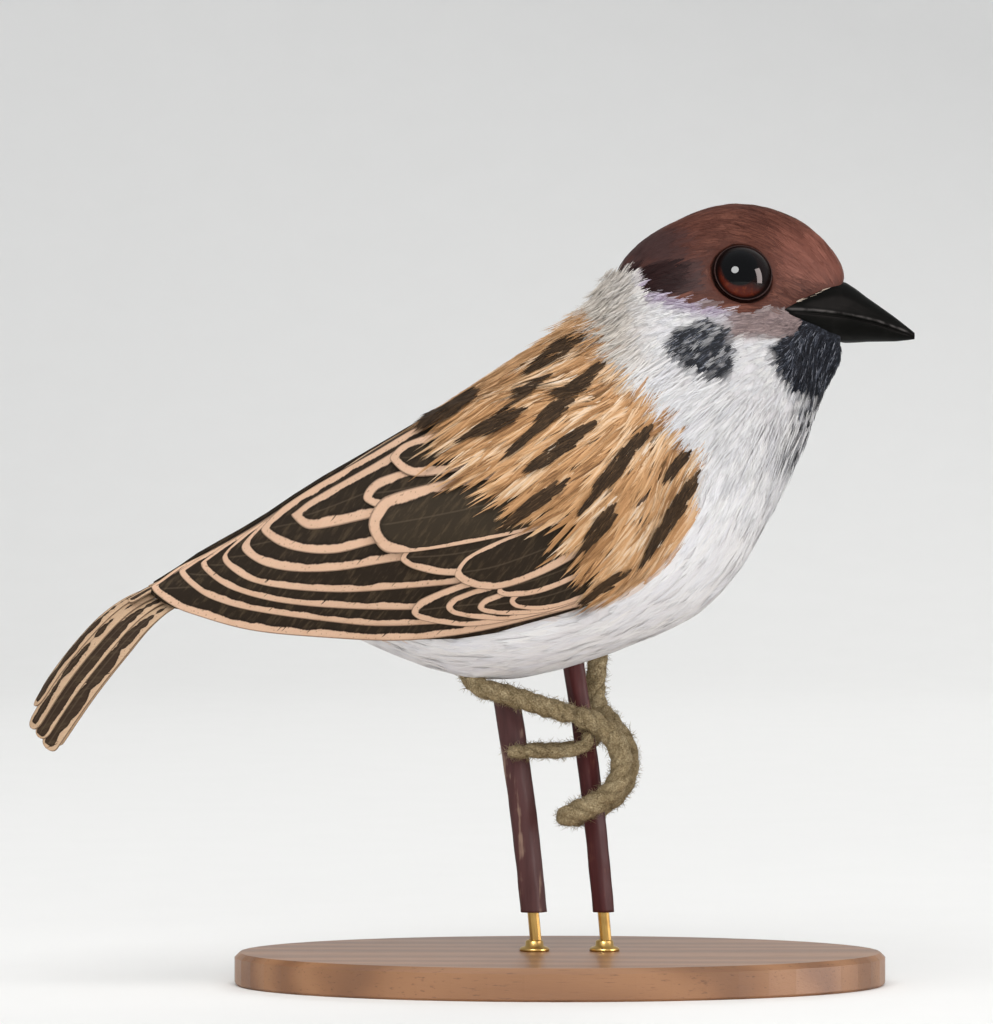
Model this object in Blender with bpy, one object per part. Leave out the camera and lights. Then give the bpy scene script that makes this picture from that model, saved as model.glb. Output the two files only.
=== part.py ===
"""Artificial feathered tree sparrow on two cut stems, with a display stand.

The bird faces +X, its right side is towards -Y and +Z is up. The origin is the
centre of the stand's underside. All sizes are in metres.
"""
import math

import bmesh
import bpy
import numpy as np
from mathutils import Vector

MM = 0.001
GAP = 0.3 * MM                  # air left between pieces that touch
CUT_REACH = 6 * MM              # how far a wing's pocket runs out past its outer face

# ---- body: one loft from the bill's root to the tail's root ------------------
BODY_SIDES = 32                 # points round each section
HEAD_END, NECK_END = 5.6, 7.4   # where the loft is parted, in stations
HEAD_RINGS, NECK_RINGS, TRUNK_RINGS = 14, 5, 16
# each station: back x, z; front x, z; half width; widest place from the back (0 to 1)
BODY_STATIONS = (
    (44.0, 107.0, 43.2, 98.6, 3.4, 0.50),       # bill root
    (43.3, 111.0, 43.1, 95.4, 4.8, 0.50),       # lores
    (38.6, 116.4, 41.5, 92.6, 6.4, 0.48),       # brow
    (32.4, 119.4, 40.3, 90.0, 9.0, 0.47),       # fore crown
    (25.6, 120.1, 39.2, 87.0, 13.2, 0.46),      # crown
    (17.6, 117.7, 37.6, 82.2, 15.6, 0.46),      # hind crown
    (10.0, 112.2, 35.7, 77.4, 16.8, 0.48),      # nape
    (4.2, 104.2, 32.6, 70.6, 18.2, 0.50),       # neck
    (-5.2, 98.2, 28.0, 63.8, 20.2, 0.50),       # shoulders
    (-16.0, 91.1, 17.5, 55.4, 21.2, 0.50),      # breast
    (-26.5, 83.8, 2.0, 49.0, 20.6, 0.50),       # belly
    (-36.5, 76.6, -14.0, 47.2, 17.2, 0.50),     # loin
    (-46.0, 69.6, -30.0, 52.3, 12.0, 0.50),     # vent
    (-52.6, 65.2, -45.0, 56.6, 7.0, 0.50),      # rump
    (-56.4, 62.4, -54.6, 58.8, 3.8, 0.50),      # tail root
)

# ---- eyes and bill ----------------------------------------------------------
EYE_PLACE = (27.7, 109.3)       # x, z of the eye's middle, seen from the side
EYE_RIM_RADIUS = 4.4 * MM
EYE_DOME_HEIGHT = 2.3 * MM
EYE_RIM_DEPTH = 0.6 * MM        # how far the rim lies below the head's surface
EYE_BACK_DEPTH = 3.0 * MM       # how far the flat back lies behind the rim
EYE_BACK_RADIUS = 3.4 * MM
EYE_SIDES, EYE_DOME_RINGS = 24, 5
BILL_SIDES = 24
BILL_RIDGE = 0.35 * MM          # the mouth line stands out this far on each side
# each section: x, centre z, half height, half width, squareness of the section
BILL_SECTIONS = (
    (32.4, 103.1, 0.5, 11.2, 3.0),
    (35.4, 103.2, 1.8, 10.6, 3.6),
    (38.4, 103.2, 3.3, 8.2, 4.0),
    (41.2, 103.1, 4.6, 6.6, 3.4),
    (43.7, 102.8, 5.0, 5.3, 2.6),
    (47.0, 101.8, 3.7, 4.2, 2.2),
    (51.4, 100.4, 2.0, 2.2, 2.0),
    (54.4, 99.5, 0.5, 0.6, 2.0),
)

# ---- wings ------------------------------------------------------------------
WING_RINGS, WING_CHORDS = 20, 8
WING_RIM = 0.6 * MM             # thickness along a wing's edge
# each station: upper edge x, y, z; lower edge x, y, z; bulge; thickness in the middle
WING_STATIONS = (
    (14.2, 20.3, 78.6, 13.8, 20.0, 73.0, 0.5, 1.2),     # bend of the wing
    (8.6, 19.8, 86.0, 10.6, 18.5, 63.4, 3.0, 1.8),
    (0.0, 17.2, 90.0, 5.0, 17.7, 59.2, 5.5, 2.0),
    (-9.4, 12.9, 90.4, -3.4, 17.6, 56.6, 7.6, 2.0),
    (-19.2, 8.0, 87.2, -13.2, 16.2, 54.0, 9.2, 1.9),
    (-29.0, 4.0, 81.6, -24.2, 13.6, 53.6, 9.0, 1.7),
    (-38.2, 2.0, 76.3, -35.2, 10.8, 54.0, 7.2, 1.6),
    (-46.2, 1.6, 71.0, -45.4, 8.6, 54.9, 4.8, 1.5),
    (-53.2, 1.6, 67.0, -53.0, 6.6, 56.9, 2.5, 1.4),
    (-58.8, 1.8, 64.2, -59.0, 4.7, 58.8, 1.1, 1.2),
    (-62.5, 2.4, 62.0, -62.6, 3.0, 60.9, 0.2, 0.9),     # tip
)
LEFT_WING_LIFT = 0.7 * MM       # the far wing's upper edge rides a little higher

# ---- tail -------------------------------------------------------------------
TAIL_RINGS, TAIL_CHORDS = 11, 11
TAIL_ROUNDNESS = 1.5            # 1 is a sharp ridge, 2 a round arch
# each station: ridge x, z; side edge x, z; half width; thickness
TAIL_STATIONS = (
    (-58.2, 61.6, -57.2, 58.6, 2.6, 1.2),
    (-63.7, 60.9, -59.9, 57.0, 4.0, 1.4),
    (-68.6, 59.2, -63.6, 53.8, 5.0, 1.3),
    (-73.1, 55.2, -67.5, 49.3, 5.8, 1.2),
    (-78.0, 48.0, -72.1, 43.4, 6.5, 1.1),
    (-82.2, 39.8, -77.3, 35.8, 7.2, 0.9),
)

# ---- legs and toes: round tubes bent along a route of x, y, z -----------------
TUBE_SIDES = 10
LEG_RADIUS, FRONT_TOE_RADIUS, BACK_TOE_RADIUS = 1.4 * MM, 1.55 * MM, 1.05 * MM
LIMBS = {
    "leg_right": (LEG_RADIUS, 9, (
        (-17.2, -6.6, 50.0), (-13.2, -6.2, 46.4), (-8.4, -5.0, 44.8),
        (-3.4, -3.8, 43.0), (2.4, -2.6, 40.9))),
    "toe_front_right": (FRONT_TOE_RADIUS, 16, (
        (2.0, -2.6, 41.1), (6.1, -2.3, 39.6), (8.8, -2.3, 37.2), (9.8, -2.3, 33.8),
        (8.8, -2.3, 30.6), (5.9, -2.3, 28.2), (2.6, -2.3, 26.7), (-0.2, -1.2, 25.4))),
    "toe_back_right": (BACK_TOE_RADIUS, 9, (
        (4.9, -2.3, 38.0), (3.9, -2.2, 36.6), (0.4, -2.2, 35.9),
        (-3.8, -2.3, 35.9), (-8.0, -2.2, 35.8))),
    "leg_left": (LEG_RADIUS, 6, (
        (6.0, 5.2, 54.0), (5.8, 5.3, 49.0), (5.5, 5.4, 45.0), (6.0, 5.3, 42.0))),
    "toe_front_left": (FRONT_TOE_RADIUS, 16, (
        (6.0, 5.3, 42.3), (8.4, 5.2, 39.2), (10.6, 5.2, 36.4), (11.3, 5.2, 33.2),
        (10.2, 5.2, 30.2), (7.6, 5.2, 27.8), (4.4, 5.2, 26.2), (1.6, 4.4, 25.0))),
    "toe_back_left": (BACK_TOE_RADIUS, 9, (
        (6.2, 5.3, 38.6), (4.9, 5.3, 37.0), (1.0, 5.2, 36.0),
        (-3.8, 5.2, 35.8), (-8.6, 5.1, 35.8))),
}

# ---- perch stems and stand -----------------------------------------------------
STEM_SIDES, STEM_RINGS = 14, 7
STEM_Y = 1.5
STEM_BEND = 0.4 * MM            # slight sideways bow along a stem
# each stem: foot x, z; top x, z; radius
STEMS = {
    "perch_stem_rear": (-4.1, 11.0, -8.6, 46.4, 2.1),
    "perch_stem_front": (6.7, 11.0, 2.2, 48.8, 1.7),
}
BASE_LENGTH, BASE_WIDTH, BASE_HEIGHT = 100 * MM, 54 * MM, 5 * MM
BASE_BEVEL, BASE_SIDES = 0.8 * MM, 56
ROD_RADIUS = 0.9 * MM
ROD_DEPTH_IN_BASE, ROD_DEPTH_IN_STEM = 3 * MM, 5 * MM
ROD_SIDES = 12

# ---- finishes: colour, roughness, metallic ---------------------------------------
FINISHES = {
    "head": ((0.17, 0.05, 0.035), 0.55, 0.0),
    "neck": ((0.72, 0.70, 0.68), 0.8, 0.0),
    "trunk": ((0.70, 0.66, 0.60), 0.8, 0.0),
    "bill": ((0.012, 0.011, 0.010), 0.3, 0.0),
    "eye": ((0.05, 0.012, 0.006), 0.05, 0.0),
    "wing": ((0.05, 0.035, 0.025), 0.6, 0.0),
    "tail": ((0.07, 0.04, 0.028), 0.6, 0.0),
    "limb": ((0.36, 0.27, 0.17), 0.95, 0.0),
    "perch_stem": ((0.10, 0.02, 0.02), 0.5, 0.0),
    "stand_base": ((0.33, 0.19, 0.10), 0.45, 0.0),
    "stand_rod": ((0.60, 0.45, 0.22), 0.3, 1.0),
}


def finish_for(name):
    """The material of one node, in its own copy."""
    if name.startswith(("leg", "toe")):
        key = "limb"
    else:
        key = next(k for k in FINISHES if name.startswith(k))
    colour, roughness, metallic = FINISHES[key]
    material = bpy.data.materials.new(name + "_finish")
    material.use_nodes = True
    shader = material.node_tree.nodes["Principled BSDF"]
    shader.inputs["Base Color"].default_value = (*colour, 1.0)
    shader.inputs["Roughness"].default_value = roughness
    shader.inputs["Metallic"].default_value = metallic
    return material


def spline(rows, t):
    """Values at station number t on a smooth curve through all the rows."""
    rows = np.asarray(rows, dtype=float)
    last = len(rows) - 1
    i = min(int(t), last - 1)
    u = t - i
    a = rows[max(i - 1, 0)]
    b, c = rows[i], rows[i + 1]
    d = rows[min(i + 2, last)]
    return 0.5 * (2 * b + (c - a) * u + (2 * a - 5 * b + 4 * c - d) * u ** 2
                  + (3 * b - a - 3 * c + d) * u ** 3)


def new_object(name, mesh, is_cutter=False):
    """Link a mesh as a finished node, or as a cutter that only shapes others."""
    thing = bpy.data.objects.new(name, mesh)
    bpy.context.collection.objects.link(thing)
    if is_cutter:
        thing.hide_render = True
        thing.display_type = "WIRE"
    else:
        mesh.materials.append(finish_for(name))
        mesh.shade_smooth()
        mesh.set_sharp_from_angle(angle=math.radians(40))
    return thing


def mesh_from_rings(name, rings):
    """Skin a list of equal closed rings into one closed tube with flat ends."""
    build = bmesh.new()
    loops = [[build.verts.new(p) for p in ring] for ring in rings]
    count = len(loops[0])
    for first, second in zip(loops, loops[1:]):
        for k in range(count):
            n = (k + 1) % count
            build.faces.new((first[k], first[n], second[n], second[k]))
    build.faces.new(loops[0])
    build.faces.new(loops[-1])
    bmesh.ops.recalc_face_normals(build, faces=build.faces)
    mesh = bpy.data.meshes.new(name)
    build.to_mesh(mesh)
    build.free()
    return mesh


def mesh_from_grids(name, outer, inner):
    """A thin shell between two equal grids of points, closed along its rim."""
    build = bmesh.new()
    skins = [[[build.verts.new(p) for p in row] for row in grid] for grid in (outer, inner)]
    rows, columns = len(outer), len(outer[0])
    for skin in skins:
        for i in range(rows - 1):
            for j in range(columns - 1):
                build.faces.new((skin[i][j], skin[i][j + 1], skin[i + 1][j + 1], skin[i + 1][j]))
    rim = [(0, j) for j in range(columns)]
    rim += [(i, columns - 1) for i in range(1, rows)]
    rim += [(rows - 1, j) for j in range(columns - 2, -1, -1)]
    rim += [(i, 0) for i in range(rows - 2, 0, -1)]
    for (i, j), (k, m) in zip(rim, rim[1:] + rim[:1]):
        build.faces.new((skins[0][i][j], skins[0][k][m], skins[1][k][m], skins[1][i][j]))
    bmesh.ops.recalc_face_normals(build, faces=build.faces)
    mesh = bpy.data.meshes.new(name)
    build.to_mesh(mesh)
    build.free()
    return mesh


def cut(target, cutter):
    """Take one cutter's shape out of a node."""
    boolean = target.modifiers.new("pocket", "BOOLEAN")
    boolean.operation = "DIFFERENCE"
    boolean.solver = "EXACT"
    boolean.object = cutter


def body_ring(t):
    """One section of the body: an egg-shaped loop from the back round to the front."""
    back_x, back_z, front_x, front_z, half_width, widest = spline(BODY_STATIONS, t)
    back = Vector((back_x, 0, back_z)) * MM
    front = Vector((front_x, 0, front_z)) * MM
    middle = back.lerp(front, widest)
    ring = []
    for k in range(BODY_SIDES):
        angle = 2 * math.pi * k / BODY_SIDES
        reach = (back - middle) if math.cos(angle) > 0 else (middle - front)
        ring.append(middle + reach * math.cos(angle)
                    + Vector((0, half_width * MM * math.sin(angle), 0)))
    return ring


def body_part(name, start, end, ring_count):
    """The stretch of the body between two station numbers."""
    rings = [body_ring(t) for t in np.linspace(start, end, ring_count)]
    return new_object(name, mesh_from_rings(name, rings))


def station_after(t):
    """The station number whose whole section lies one gap past station t."""
    step = 0.0
    here = body_ring(t)
    while True:
        step += 0.002
        there = body_ring(t + step)
        if min((a - b).length for a, b in zip(here, there)) >= GAP * 1.15:
            return t + step


def bill(name, grow=0.0, is_cutter=False):
    """A pointed cone whose wide, boxy root wraps the face; flat at its hidden end."""
    rings = []
    for t in np.linspace(0, len(BILL_SECTIONS) - 1, 2 * len(BILL_SECTIONS) - 1):
        x, z, half_height, half_width, squareness = spline(BILL_SECTIONS, t)
        ring = []
        for k in range(BILL_SIDES):
            angle = 2 * math.pi * k / BILL_SIDES
            across, up = math.sin(angle), math.cos(angle)
            reach = (abs(across) ** squareness + abs(up) ** squareness) ** (-1 / squareness)
            ridge = BILL_RIDGE * across ** 5 * min(1, half_width / 4)
            ring.append(Vector((
                x * MM,
                across * (reach * half_width * MM + grow) + ridge,
                z * MM + up * (reach * half_height * MM + grow))))
        rings.append(ring)
    for point in rings[0]:
        point.x -= grow
    return new_object(name, mesh_from_rings(name, rings), is_cutter)


def flank_point(x, z):
    """The point of the body's left surface that is seen at x, z from the side."""
    low, high = 0.0, float(len(BODY_STATIONS) - 1)
    while high - low > 1e-5:
        t = (low + high) / 2
        back_x, back_z, front_x, front_z, half_width, widest = spline(BODY_STATIONS, t)
        side = (front_x - back_x) * (z - back_z) - (front_z - back_z) * (x - back_x)
        if side > 0:
            high = t
        else:
            low = t
    share = (back_z - z) / (back_z - front_z)
    rise = (widest - share) / (widest if share < widest else 1 - widest)
    return Vector((x, half_width * math.sqrt(max(0.0, 1 - rise ** 2)), z)) * MM


def eye(name, side, grow=0.0, is_cutter=False):
    """A glass eye: a low dome with a tapered, flat back, set square to the face."""
    x, z = EYE_PLACE
    centre = flank_point(x, z)
    along = flank_point(x + 1, z) - flank_point(x - 1, z)
    upward = flank_point(x, z + 1) - flank_point(x, z - 1)
    outward = upward.cross(along).normalized()
    centre -= outward * EYE_RIM_DEPTH
    centre.y *= side
    outward.y *= side
    across = outward.orthogonal().normalized()
    up = outward.cross(across)
    profile = [(-EYE_BACK_DEPTH - grow, EYE_BACK_RADIUS + grow)]
    for k in range(EYE_DOME_RINGS):
        angle = math.pi / 2 * k / EYE_DOME_RINGS
        profile.append(((EYE_DOME_HEIGHT + grow) * math.sin(angle),
                        (EYE_RIM_RADIUS + grow) * math.cos(angle)))
    rings = [[
        centre + outward * depth + (across * math.cos(angle) + up * math.sin(angle)) * radius
        for angle in (2 * math.pi * k / EYE_SIDES for k in range(EYE_SIDES))]
        for depth, radius in profile]
    return new_object(name, mesh_from_rings(name, rings), is_cutter)


def grid_normals(grid):
    """Unit normals of a grid of points, from its neighbours."""
    points = np.array(grid)
    along = np.gradient(points, axis=0)
    across = np.gradient(points, axis=1)
    normals = np.cross(along, across)
    return normals / np.linalg.norm(normals, axis=2, keepdims=True)


def wing(name, side, grow=0.0, is_cutter=False):
    """A curved shell over the flank, thick in the middle and thin along its rim."""
    lift = LEFT_WING_LIFT if side > 0 else 0.0
    outer, thickness = [], []
    for t in np.linspace(0, len(WING_STATIONS) - 1, WING_RINGS):
        row = spline(WING_STATIONS, t) * MM
        upper, lower, bulge, depth = row[:3], row[3:6], row[6], row[7]
        upper = upper + np.array((0, 0, lift))
        chord = lower - upper
        outward = np.cross((1, 0, 0), chord)
        outward /= np.linalg.norm(outward)
        outward *= math.copysign(1, outward[1])
        line, depths = [], []
        for c in np.linspace(0, 1, WING_CHORDS):
            arch = math.sin(math.pi * c)
            line.append(upper + chord * c + outward * bulge * arch)
            depths.append(WING_RIM + (depth - WING_RIM) * arch ** 0.5)
        outer.append(line)
        thickness.append(depths)
    outer, thickness = np.array(outer), np.array(thickness)[..., None]
    normals = grid_normals(outer)
    normals *= np.sign(normals[..., 1:2].mean())
    if grow:
        chords = outer[:, -1:] - outer[:, :1]
        spread = chords / np.linalg.norm(chords, axis=2, keepdims=True) * grow
        outer[:, :1] -= spread
        outer[:, -1:] += spread
        outer[0, :, 0] += grow
        outer[-1, :, 0] -= grow
    inner = outer - normals * (thickness + grow)
    if is_cutter:
        outer = outer + normals * CUT_REACH
    outer, inner = outer.copy(), inner.copy()
    outer[..., 1] *= side
    inner[..., 1] *= side
    return new_object(name, mesh_from_grids(name, outer, inner), is_cutter)


def tail(name):
    """A drooping fan, arched across like a shallow roof."""
    outer, thickness = [], []
    for t in np.linspace(0, len(TAIL_STATIONS) - 1, TAIL_RINGS):
        row = spline(TAIL_STATIONS, t) * MM
        ridge, edge, half_width, depth = row[:2], row[2:4], row[4], row[5]
        line = []
        for c in np.linspace(-1, 1, TAIL_CHORDS):
            x, z = ridge + (edge - ridge) * abs(c) ** TAIL_ROUNDNESS
            line.append((x, half_width * c, z))
        outer.append(line)
        thickness.append([depth] * TAIL_CHORDS)
    outer = np.array(outer)
    normals = grid_normals(outer)
    normals *= np.sign(normals[:, TAIL_CHORDS // 2, 2].mean())
    inner = outer - normals * np.array(thickness)[..., None]
    return new_object(name, mesh_from_grids(name, outer, inner))


def tube_rings(route, radius, ring_count, sides):
    """Round sections along a smooth curve, carried without twist."""
    places = np.linspace(0, len(route) - 1, ring_count)
    centres = [Vector(spline(route, t)) * MM for t in places]
    rings = []
    across = None
    for i, centre in enumerate(centres):
        before = centres[max(i - 1, 0)]
        after = centres[min(i + 1, ring_count - 1)]
        run = (after - before).normalized()
        start = Vector((0, 1, 0)) if across is None else across
        across = (start - run * start.dot(run)).normalized()
        up = run.cross(across)
        rings.append([
            centre + (across * math.cos(angle) + up * math.sin(angle)) * radius
            for angle in (2 * math.pi * k / sides for k in range(sides))])
    return rings


def limb(name, grow=0.0, is_cutter=False):
    """One length of bound wire: a leg or a toe."""
    radius, ring_count, route = LIMBS[name]
    label = name + "_pocket" if is_cutter else name
    rings = tube_rings(route, radius + grow, ring_count, TUBE_SIDES)
    if is_cutter:
        start = (rings[0][0] - rings[1][0]).normalized() * grow
        for point in rings[0]:
            point += start
    return new_object(label, mesh_from_rings(label, rings), is_cutter)


def stem_centre(name, z):
    """Where a stem's middle line is at one height."""
    foot_x, foot_z, top_x, top_z, _ = STEMS[name]
    u = (z / MM - foot_z) / (top_z - foot_z)
    bow = STEM_BEND * math.sin(math.pi * u)
    return Vector(((foot_x + (top_x - foot_x) * u) * MM + bow, STEM_Y * MM, z))


def stem(name):
    """A cut length of plant stem with flat ends."""
    _, foot_z, _, top_z, radius = STEMS[name]
    rings = []
    for z in np.linspace(foot_z, top_z, STEM_RINGS) * MM:
        centre = stem_centre(name, z)
        rings.append([
            centre + Vector((math.cos(angle), math.sin(angle), 0)) * radius * MM
            for angle in (2 * math.pi * k / STEM_SIDES for k in range(STEM_SIDES))])
    return new_object(name, mesh_from_rings(name, rings))


def base(name):
    """An oval plate, standing on the floor."""
    rings = []
    for z, inset in ((0, BASE_BEVEL / 2), (BASE_BEVEL / 2, 0),
                     (BASE_HEIGHT - BASE_BEVEL, 0), (BASE_HEIGHT, BASE_BEVEL)):
        rings.append([
            Vector(((BASE_LENGTH / 2 - inset) * math.cos(angle),
                    (BASE_WIDTH / 2 - inset) * math.sin(angle), z))
            for angle in (2 * math.pi * k / BASE_SIDES for k in range(BASE_SIDES))])
    return new_object(name, mesh_from_rings(name, rings))


def rod(name, stem_name, grow=0.0, is_cutter=False):
    """A thin rod from the base up into a stem's foot, in line with the stem."""
    foot_z = STEMS[stem_name][1] * MM
    low_z = BASE_HEIGHT - ROD_DEPTH_IN_BASE - grow
    high_z = foot_z + ROD_DEPTH_IN_STEM + grow
    rings = []
    for z in (low_z, BASE_HEIGHT, foot_z, high_z):
        centre = stem_centre(stem_name, z)
        rings.append([
            centre + Vector((math.cos(angle), math.sin(angle), 0)) * (ROD_RADIUS + grow)
            for angle in (2 * math.pi * k / ROD_SIDES for k in range(ROD_SIDES))])
    return new_object(name, mesh_from_rings(name, rings), is_cutter)


def build_body():
    """Head, neck and trunk, with the bill, eyes, wings and tail set into them."""
    head = body_part("head", 0.0, HEAD_END, HEAD_RINGS)
    body_part("neck", station_after(HEAD_END), NECK_END, NECK_RINGS)
    trunk = body_part("trunk", station_after(NECK_END), len(BODY_STATIONS) - 1, TRUNK_RINGS)
    bill("bill")
    cut(head, bill("bill_pocket", GAP, True))
    for side_name, side in (("right", -1), ("left", 1)):
        eye("eye_" + side_name, side)
        cut(head, eye("eye_pocket_" + side_name, side, GAP, True))
        wing("wing_" + side_name, side)
        cut(trunk, wing("wing_pocket_" + side_name, side, GAP, True))
    tail("tail")
    return trunk


def build_limbs(trunk):
    """Legs let into the belly, then front toes and back toes, each cut clear of the last."""
    for side_name in ("right", "left"):
        earlier = []
        for kind in ("leg_", "toe_front_", "toe_back_"):
            piece = limb(kind + side_name)
            for pocket in earlier:
                cut(piece, pocket)
            earlier.append(limb(kind + side_name, GAP, True))
        cut(trunk, earlier[0])


def build_stand():
    """Perch stems on two rods in an oval base."""
    plate = base("stand_base")
    for name in STEMS:
        perch = stem(name)
        rod_name = name.replace("perch_stem", "stand_rod")
        rod(rod_name, name)
        pocket = rod(rod_name + "_pocket", name, GAP, True)
        cut(perch, pocket)
        cut(plate, pocket)


def main():
    for thing in list(bpy.data.objects):
        bpy.data.objects.remove(thing, do_unlink=True)
    trunk = build_body()
    build_limbs(trunk)
    build_stand()


main()
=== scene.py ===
import math
import bmesh
import bpy
import numpy as np
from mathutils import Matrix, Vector, noise
from mathutils.bvhtree import BVHTree


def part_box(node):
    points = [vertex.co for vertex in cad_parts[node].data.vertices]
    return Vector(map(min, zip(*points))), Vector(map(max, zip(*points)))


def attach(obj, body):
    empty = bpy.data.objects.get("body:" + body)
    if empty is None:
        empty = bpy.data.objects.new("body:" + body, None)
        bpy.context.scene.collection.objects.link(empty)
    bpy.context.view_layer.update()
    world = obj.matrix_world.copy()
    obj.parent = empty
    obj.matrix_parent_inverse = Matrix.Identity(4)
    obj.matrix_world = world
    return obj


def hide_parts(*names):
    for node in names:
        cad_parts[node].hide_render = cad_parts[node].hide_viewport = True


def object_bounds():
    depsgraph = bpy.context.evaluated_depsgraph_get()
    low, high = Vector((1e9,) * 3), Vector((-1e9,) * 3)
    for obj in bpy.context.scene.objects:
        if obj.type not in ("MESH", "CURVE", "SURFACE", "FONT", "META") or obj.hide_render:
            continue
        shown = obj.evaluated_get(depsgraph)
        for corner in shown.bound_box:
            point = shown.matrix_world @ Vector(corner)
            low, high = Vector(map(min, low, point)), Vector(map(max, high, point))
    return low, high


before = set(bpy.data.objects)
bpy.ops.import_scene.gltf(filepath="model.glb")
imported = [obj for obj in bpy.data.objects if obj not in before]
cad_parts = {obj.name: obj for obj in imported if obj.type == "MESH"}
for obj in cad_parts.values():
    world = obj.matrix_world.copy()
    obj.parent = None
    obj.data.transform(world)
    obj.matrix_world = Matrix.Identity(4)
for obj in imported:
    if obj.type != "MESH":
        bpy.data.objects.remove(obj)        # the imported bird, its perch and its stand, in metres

mm = 0.001
rightSide, leftSide = -1, 1        # the sign of y on each side of the bird
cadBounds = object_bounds()


class Wire:
    # one output of a node, with arithmetic that adds Math nodes
    def __init__(self, graph, socket):
        self.graph, self.socket = graph, socket

    def calc(self, operation, *others):
        values = {k: v for k, v in enumerate((self,) + others)}
        return self.graph.node("ShaderNodeMath", {"operation": operation}, values)

    def after(self, operation, first):
        return self.graph.node("ShaderNodeMath", {"operation": operation}, {0: first, 1: self})

    def __add__(self, other):
        return self.calc("ADD", other)

    def __radd__(self, other):
        return self.after("ADD", other)

    def __sub__(self, other):
        return self.calc("SUBTRACT", other)

    def __rsub__(self, other):
        return self.after("SUBTRACT", other)

    def __mul__(self, other):
        return self.calc("MULTIPLY", other)

    def __rmul__(self, other):
        return self.after("MULTIPLY", other)

    def __truediv__(self, other):
        return self.calc("DIVIDE", other)

    def __rtruediv__(self, other):
        return self.after("DIVIDE", other)

    def __pow__(self, other):
        return self.calc("POWER", other)

    def rise(self, low, high):
        # 0 below low, 1 above high, smooth between; the other way round when low is the larger
        return self.graph.node("ShaderNodeMapRange", {"interpolation_type": "SMOOTHSTEP"},
                               {0: self, 1: low, 2: high, 3: 0.0, 4: 1.0})


class Graph:
    # a node tree being written, for shaders and for geometry
    def __init__(self, tree):
        self.tree = tree

    def node(self, kind, settings=None, sockets=None, output=0):
        made = self.tree.nodes.new(kind)
        for name, value in (settings or {}).items():
            setattr(made, name, value)
        for key, value in (sockets or {}).items():
            if isinstance(value, Wire):
                self.tree.links.new(value.socket, made.inputs[key])
            elif value is not None:
                made.inputs[key].default_value = value
        return Wire(self, made.outputs[output]) if made.outputs else None

    def also(self, wire, output):
        return Wire(self, wire.socket.node.outputs[output])

    def gather(self, *wires):
        # several geometries as one
        made = self.tree.nodes.new("GeometryNodeJoinGeometry")
        for wire in wires:
            self.tree.links.new(wire.socket, made.inputs[0])
        return Wire(self, made.outputs[0])

    def blend(self, factor, first, second, kind="MIX"):
        return self.node("ShaderNodeMix", {"data_type": "RGBA", "blend_type": kind},
                         {0: factor, 6: first, 7: second}, 2)

    def ramp(self, factor, *stops):
        # a colour that runs through the stops, each a place and a shade
        made = self.node("ShaderNodeValToRGB", None, {0: factor})
        row = made.socket.node.color_ramp.elements
        for k, (place, colour) in enumerate(stops):
            stop = row[k] if k < 2 else row.new(place)
            stop.position, stop.color = place, colour
        return made

    def vector(self, operation, first, second=None):
        other = "Scale" if operation == "SCALE" else 1
        return self.node("ShaderNodeVectorMath", {"operation": operation}, {0: first, other: second})

    def join(self, x, y, z):
        return self.node("ShaderNodeCombineXYZ", None, {0: x, 1: y, 2: z})

    def parts(self, vector):
        split = self.node("ShaderNodeSeparateXYZ", None, {0: vector})
        return split, self.also(split, 1), self.also(split, 2)

    def read(self, attribute):
        # the three parts of what a mesh carries under that name
        return self.parts(self.node("ShaderNodeAttribute", {"attribute_name": attribute}, None, 1))

    def place(self, scale=(1, 1, 1), turn=(0, 0, 0), shift=(0, 0, 0), output=3):
        where = self.node("ShaderNodeTexCoord", None, None, output)
        return self.node("ShaderNodeMapping", None,
                         {"Vector": where, "Scale": scale, "Rotation": turn, "Location": shift})

    def grain(self, where, scale, detail=3.0, roughness=0.5, distortion=0.0):
        return self.node("ShaderNodeTexNoise", None,
                         {"Vector": where, "Scale": scale, "Detail": detail,
                          "Roughness": roughness, "Distortion": distortion})


def shade(red, green, blue):
    # a screen colour in 0..255 steps as a linear one
    def linear(value):
        value = value / 255
        return value / 12.92 if value <= 0.04045 else ((value + 0.055) / 1.055) ** 2.4
    return (linear(red), linear(green), linear(blue), 1.0)


def newFinish(name):
    finish = bpy.data.materials.new(name)
    finish.use_nodes = True
    finish.node_tree.nodes.clear()
    return finish, Graph(finish.node_tree)


def closeFinish(finish, graph, sockets, bump=None, strength=0.3, distance=0.0002):
    # the shader itself, with an optional height that roughens the surface
    sockets = dict(sockets)
    if bump is not None:
        sockets["Normal"] = graph.node("ShaderNodeBump", None,
                                       {"Strength": strength, "Distance": distance, "Height": bump})
    surface = graph.node("ShaderNodeBsdfPrincipled", None, sockets)
    graph.node("ShaderNodeOutputMaterial", None, {"Surface": surface})
    return finish


def newObject(name, data):
    made = bpy.data.objects.new(name, data)
    bpy.context.scene.collection.objects.link(made)
    return made


def dress(mesh, finish):
    mesh.materials.clear()
    mesh.materials.append(finish)


def newPiece(name, mesh, finish=None, smooth=True):
    mesh.name = name
    if finish is not None:
        dress(mesh, finish)
    if smooth:
        mesh.shade_smooth()
    return newObject(name, mesh)


def givePiece(piece, nodes=()):
    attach(piece, "root")
    if nodes:
        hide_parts(*nodes)
    return piece


def meshFrom(name, points, faces):
    mesh = bpy.data.meshes.new(name)
    mesh.from_pydata([tuple(p) for p in points], [], [tuple(int(k) for k in f) for f in faces])
    mesh.update()
    return mesh


def turns(count):
    # angles evenly round a circle
    return [2 * math.pi * k / count for k in range(count)]


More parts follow.
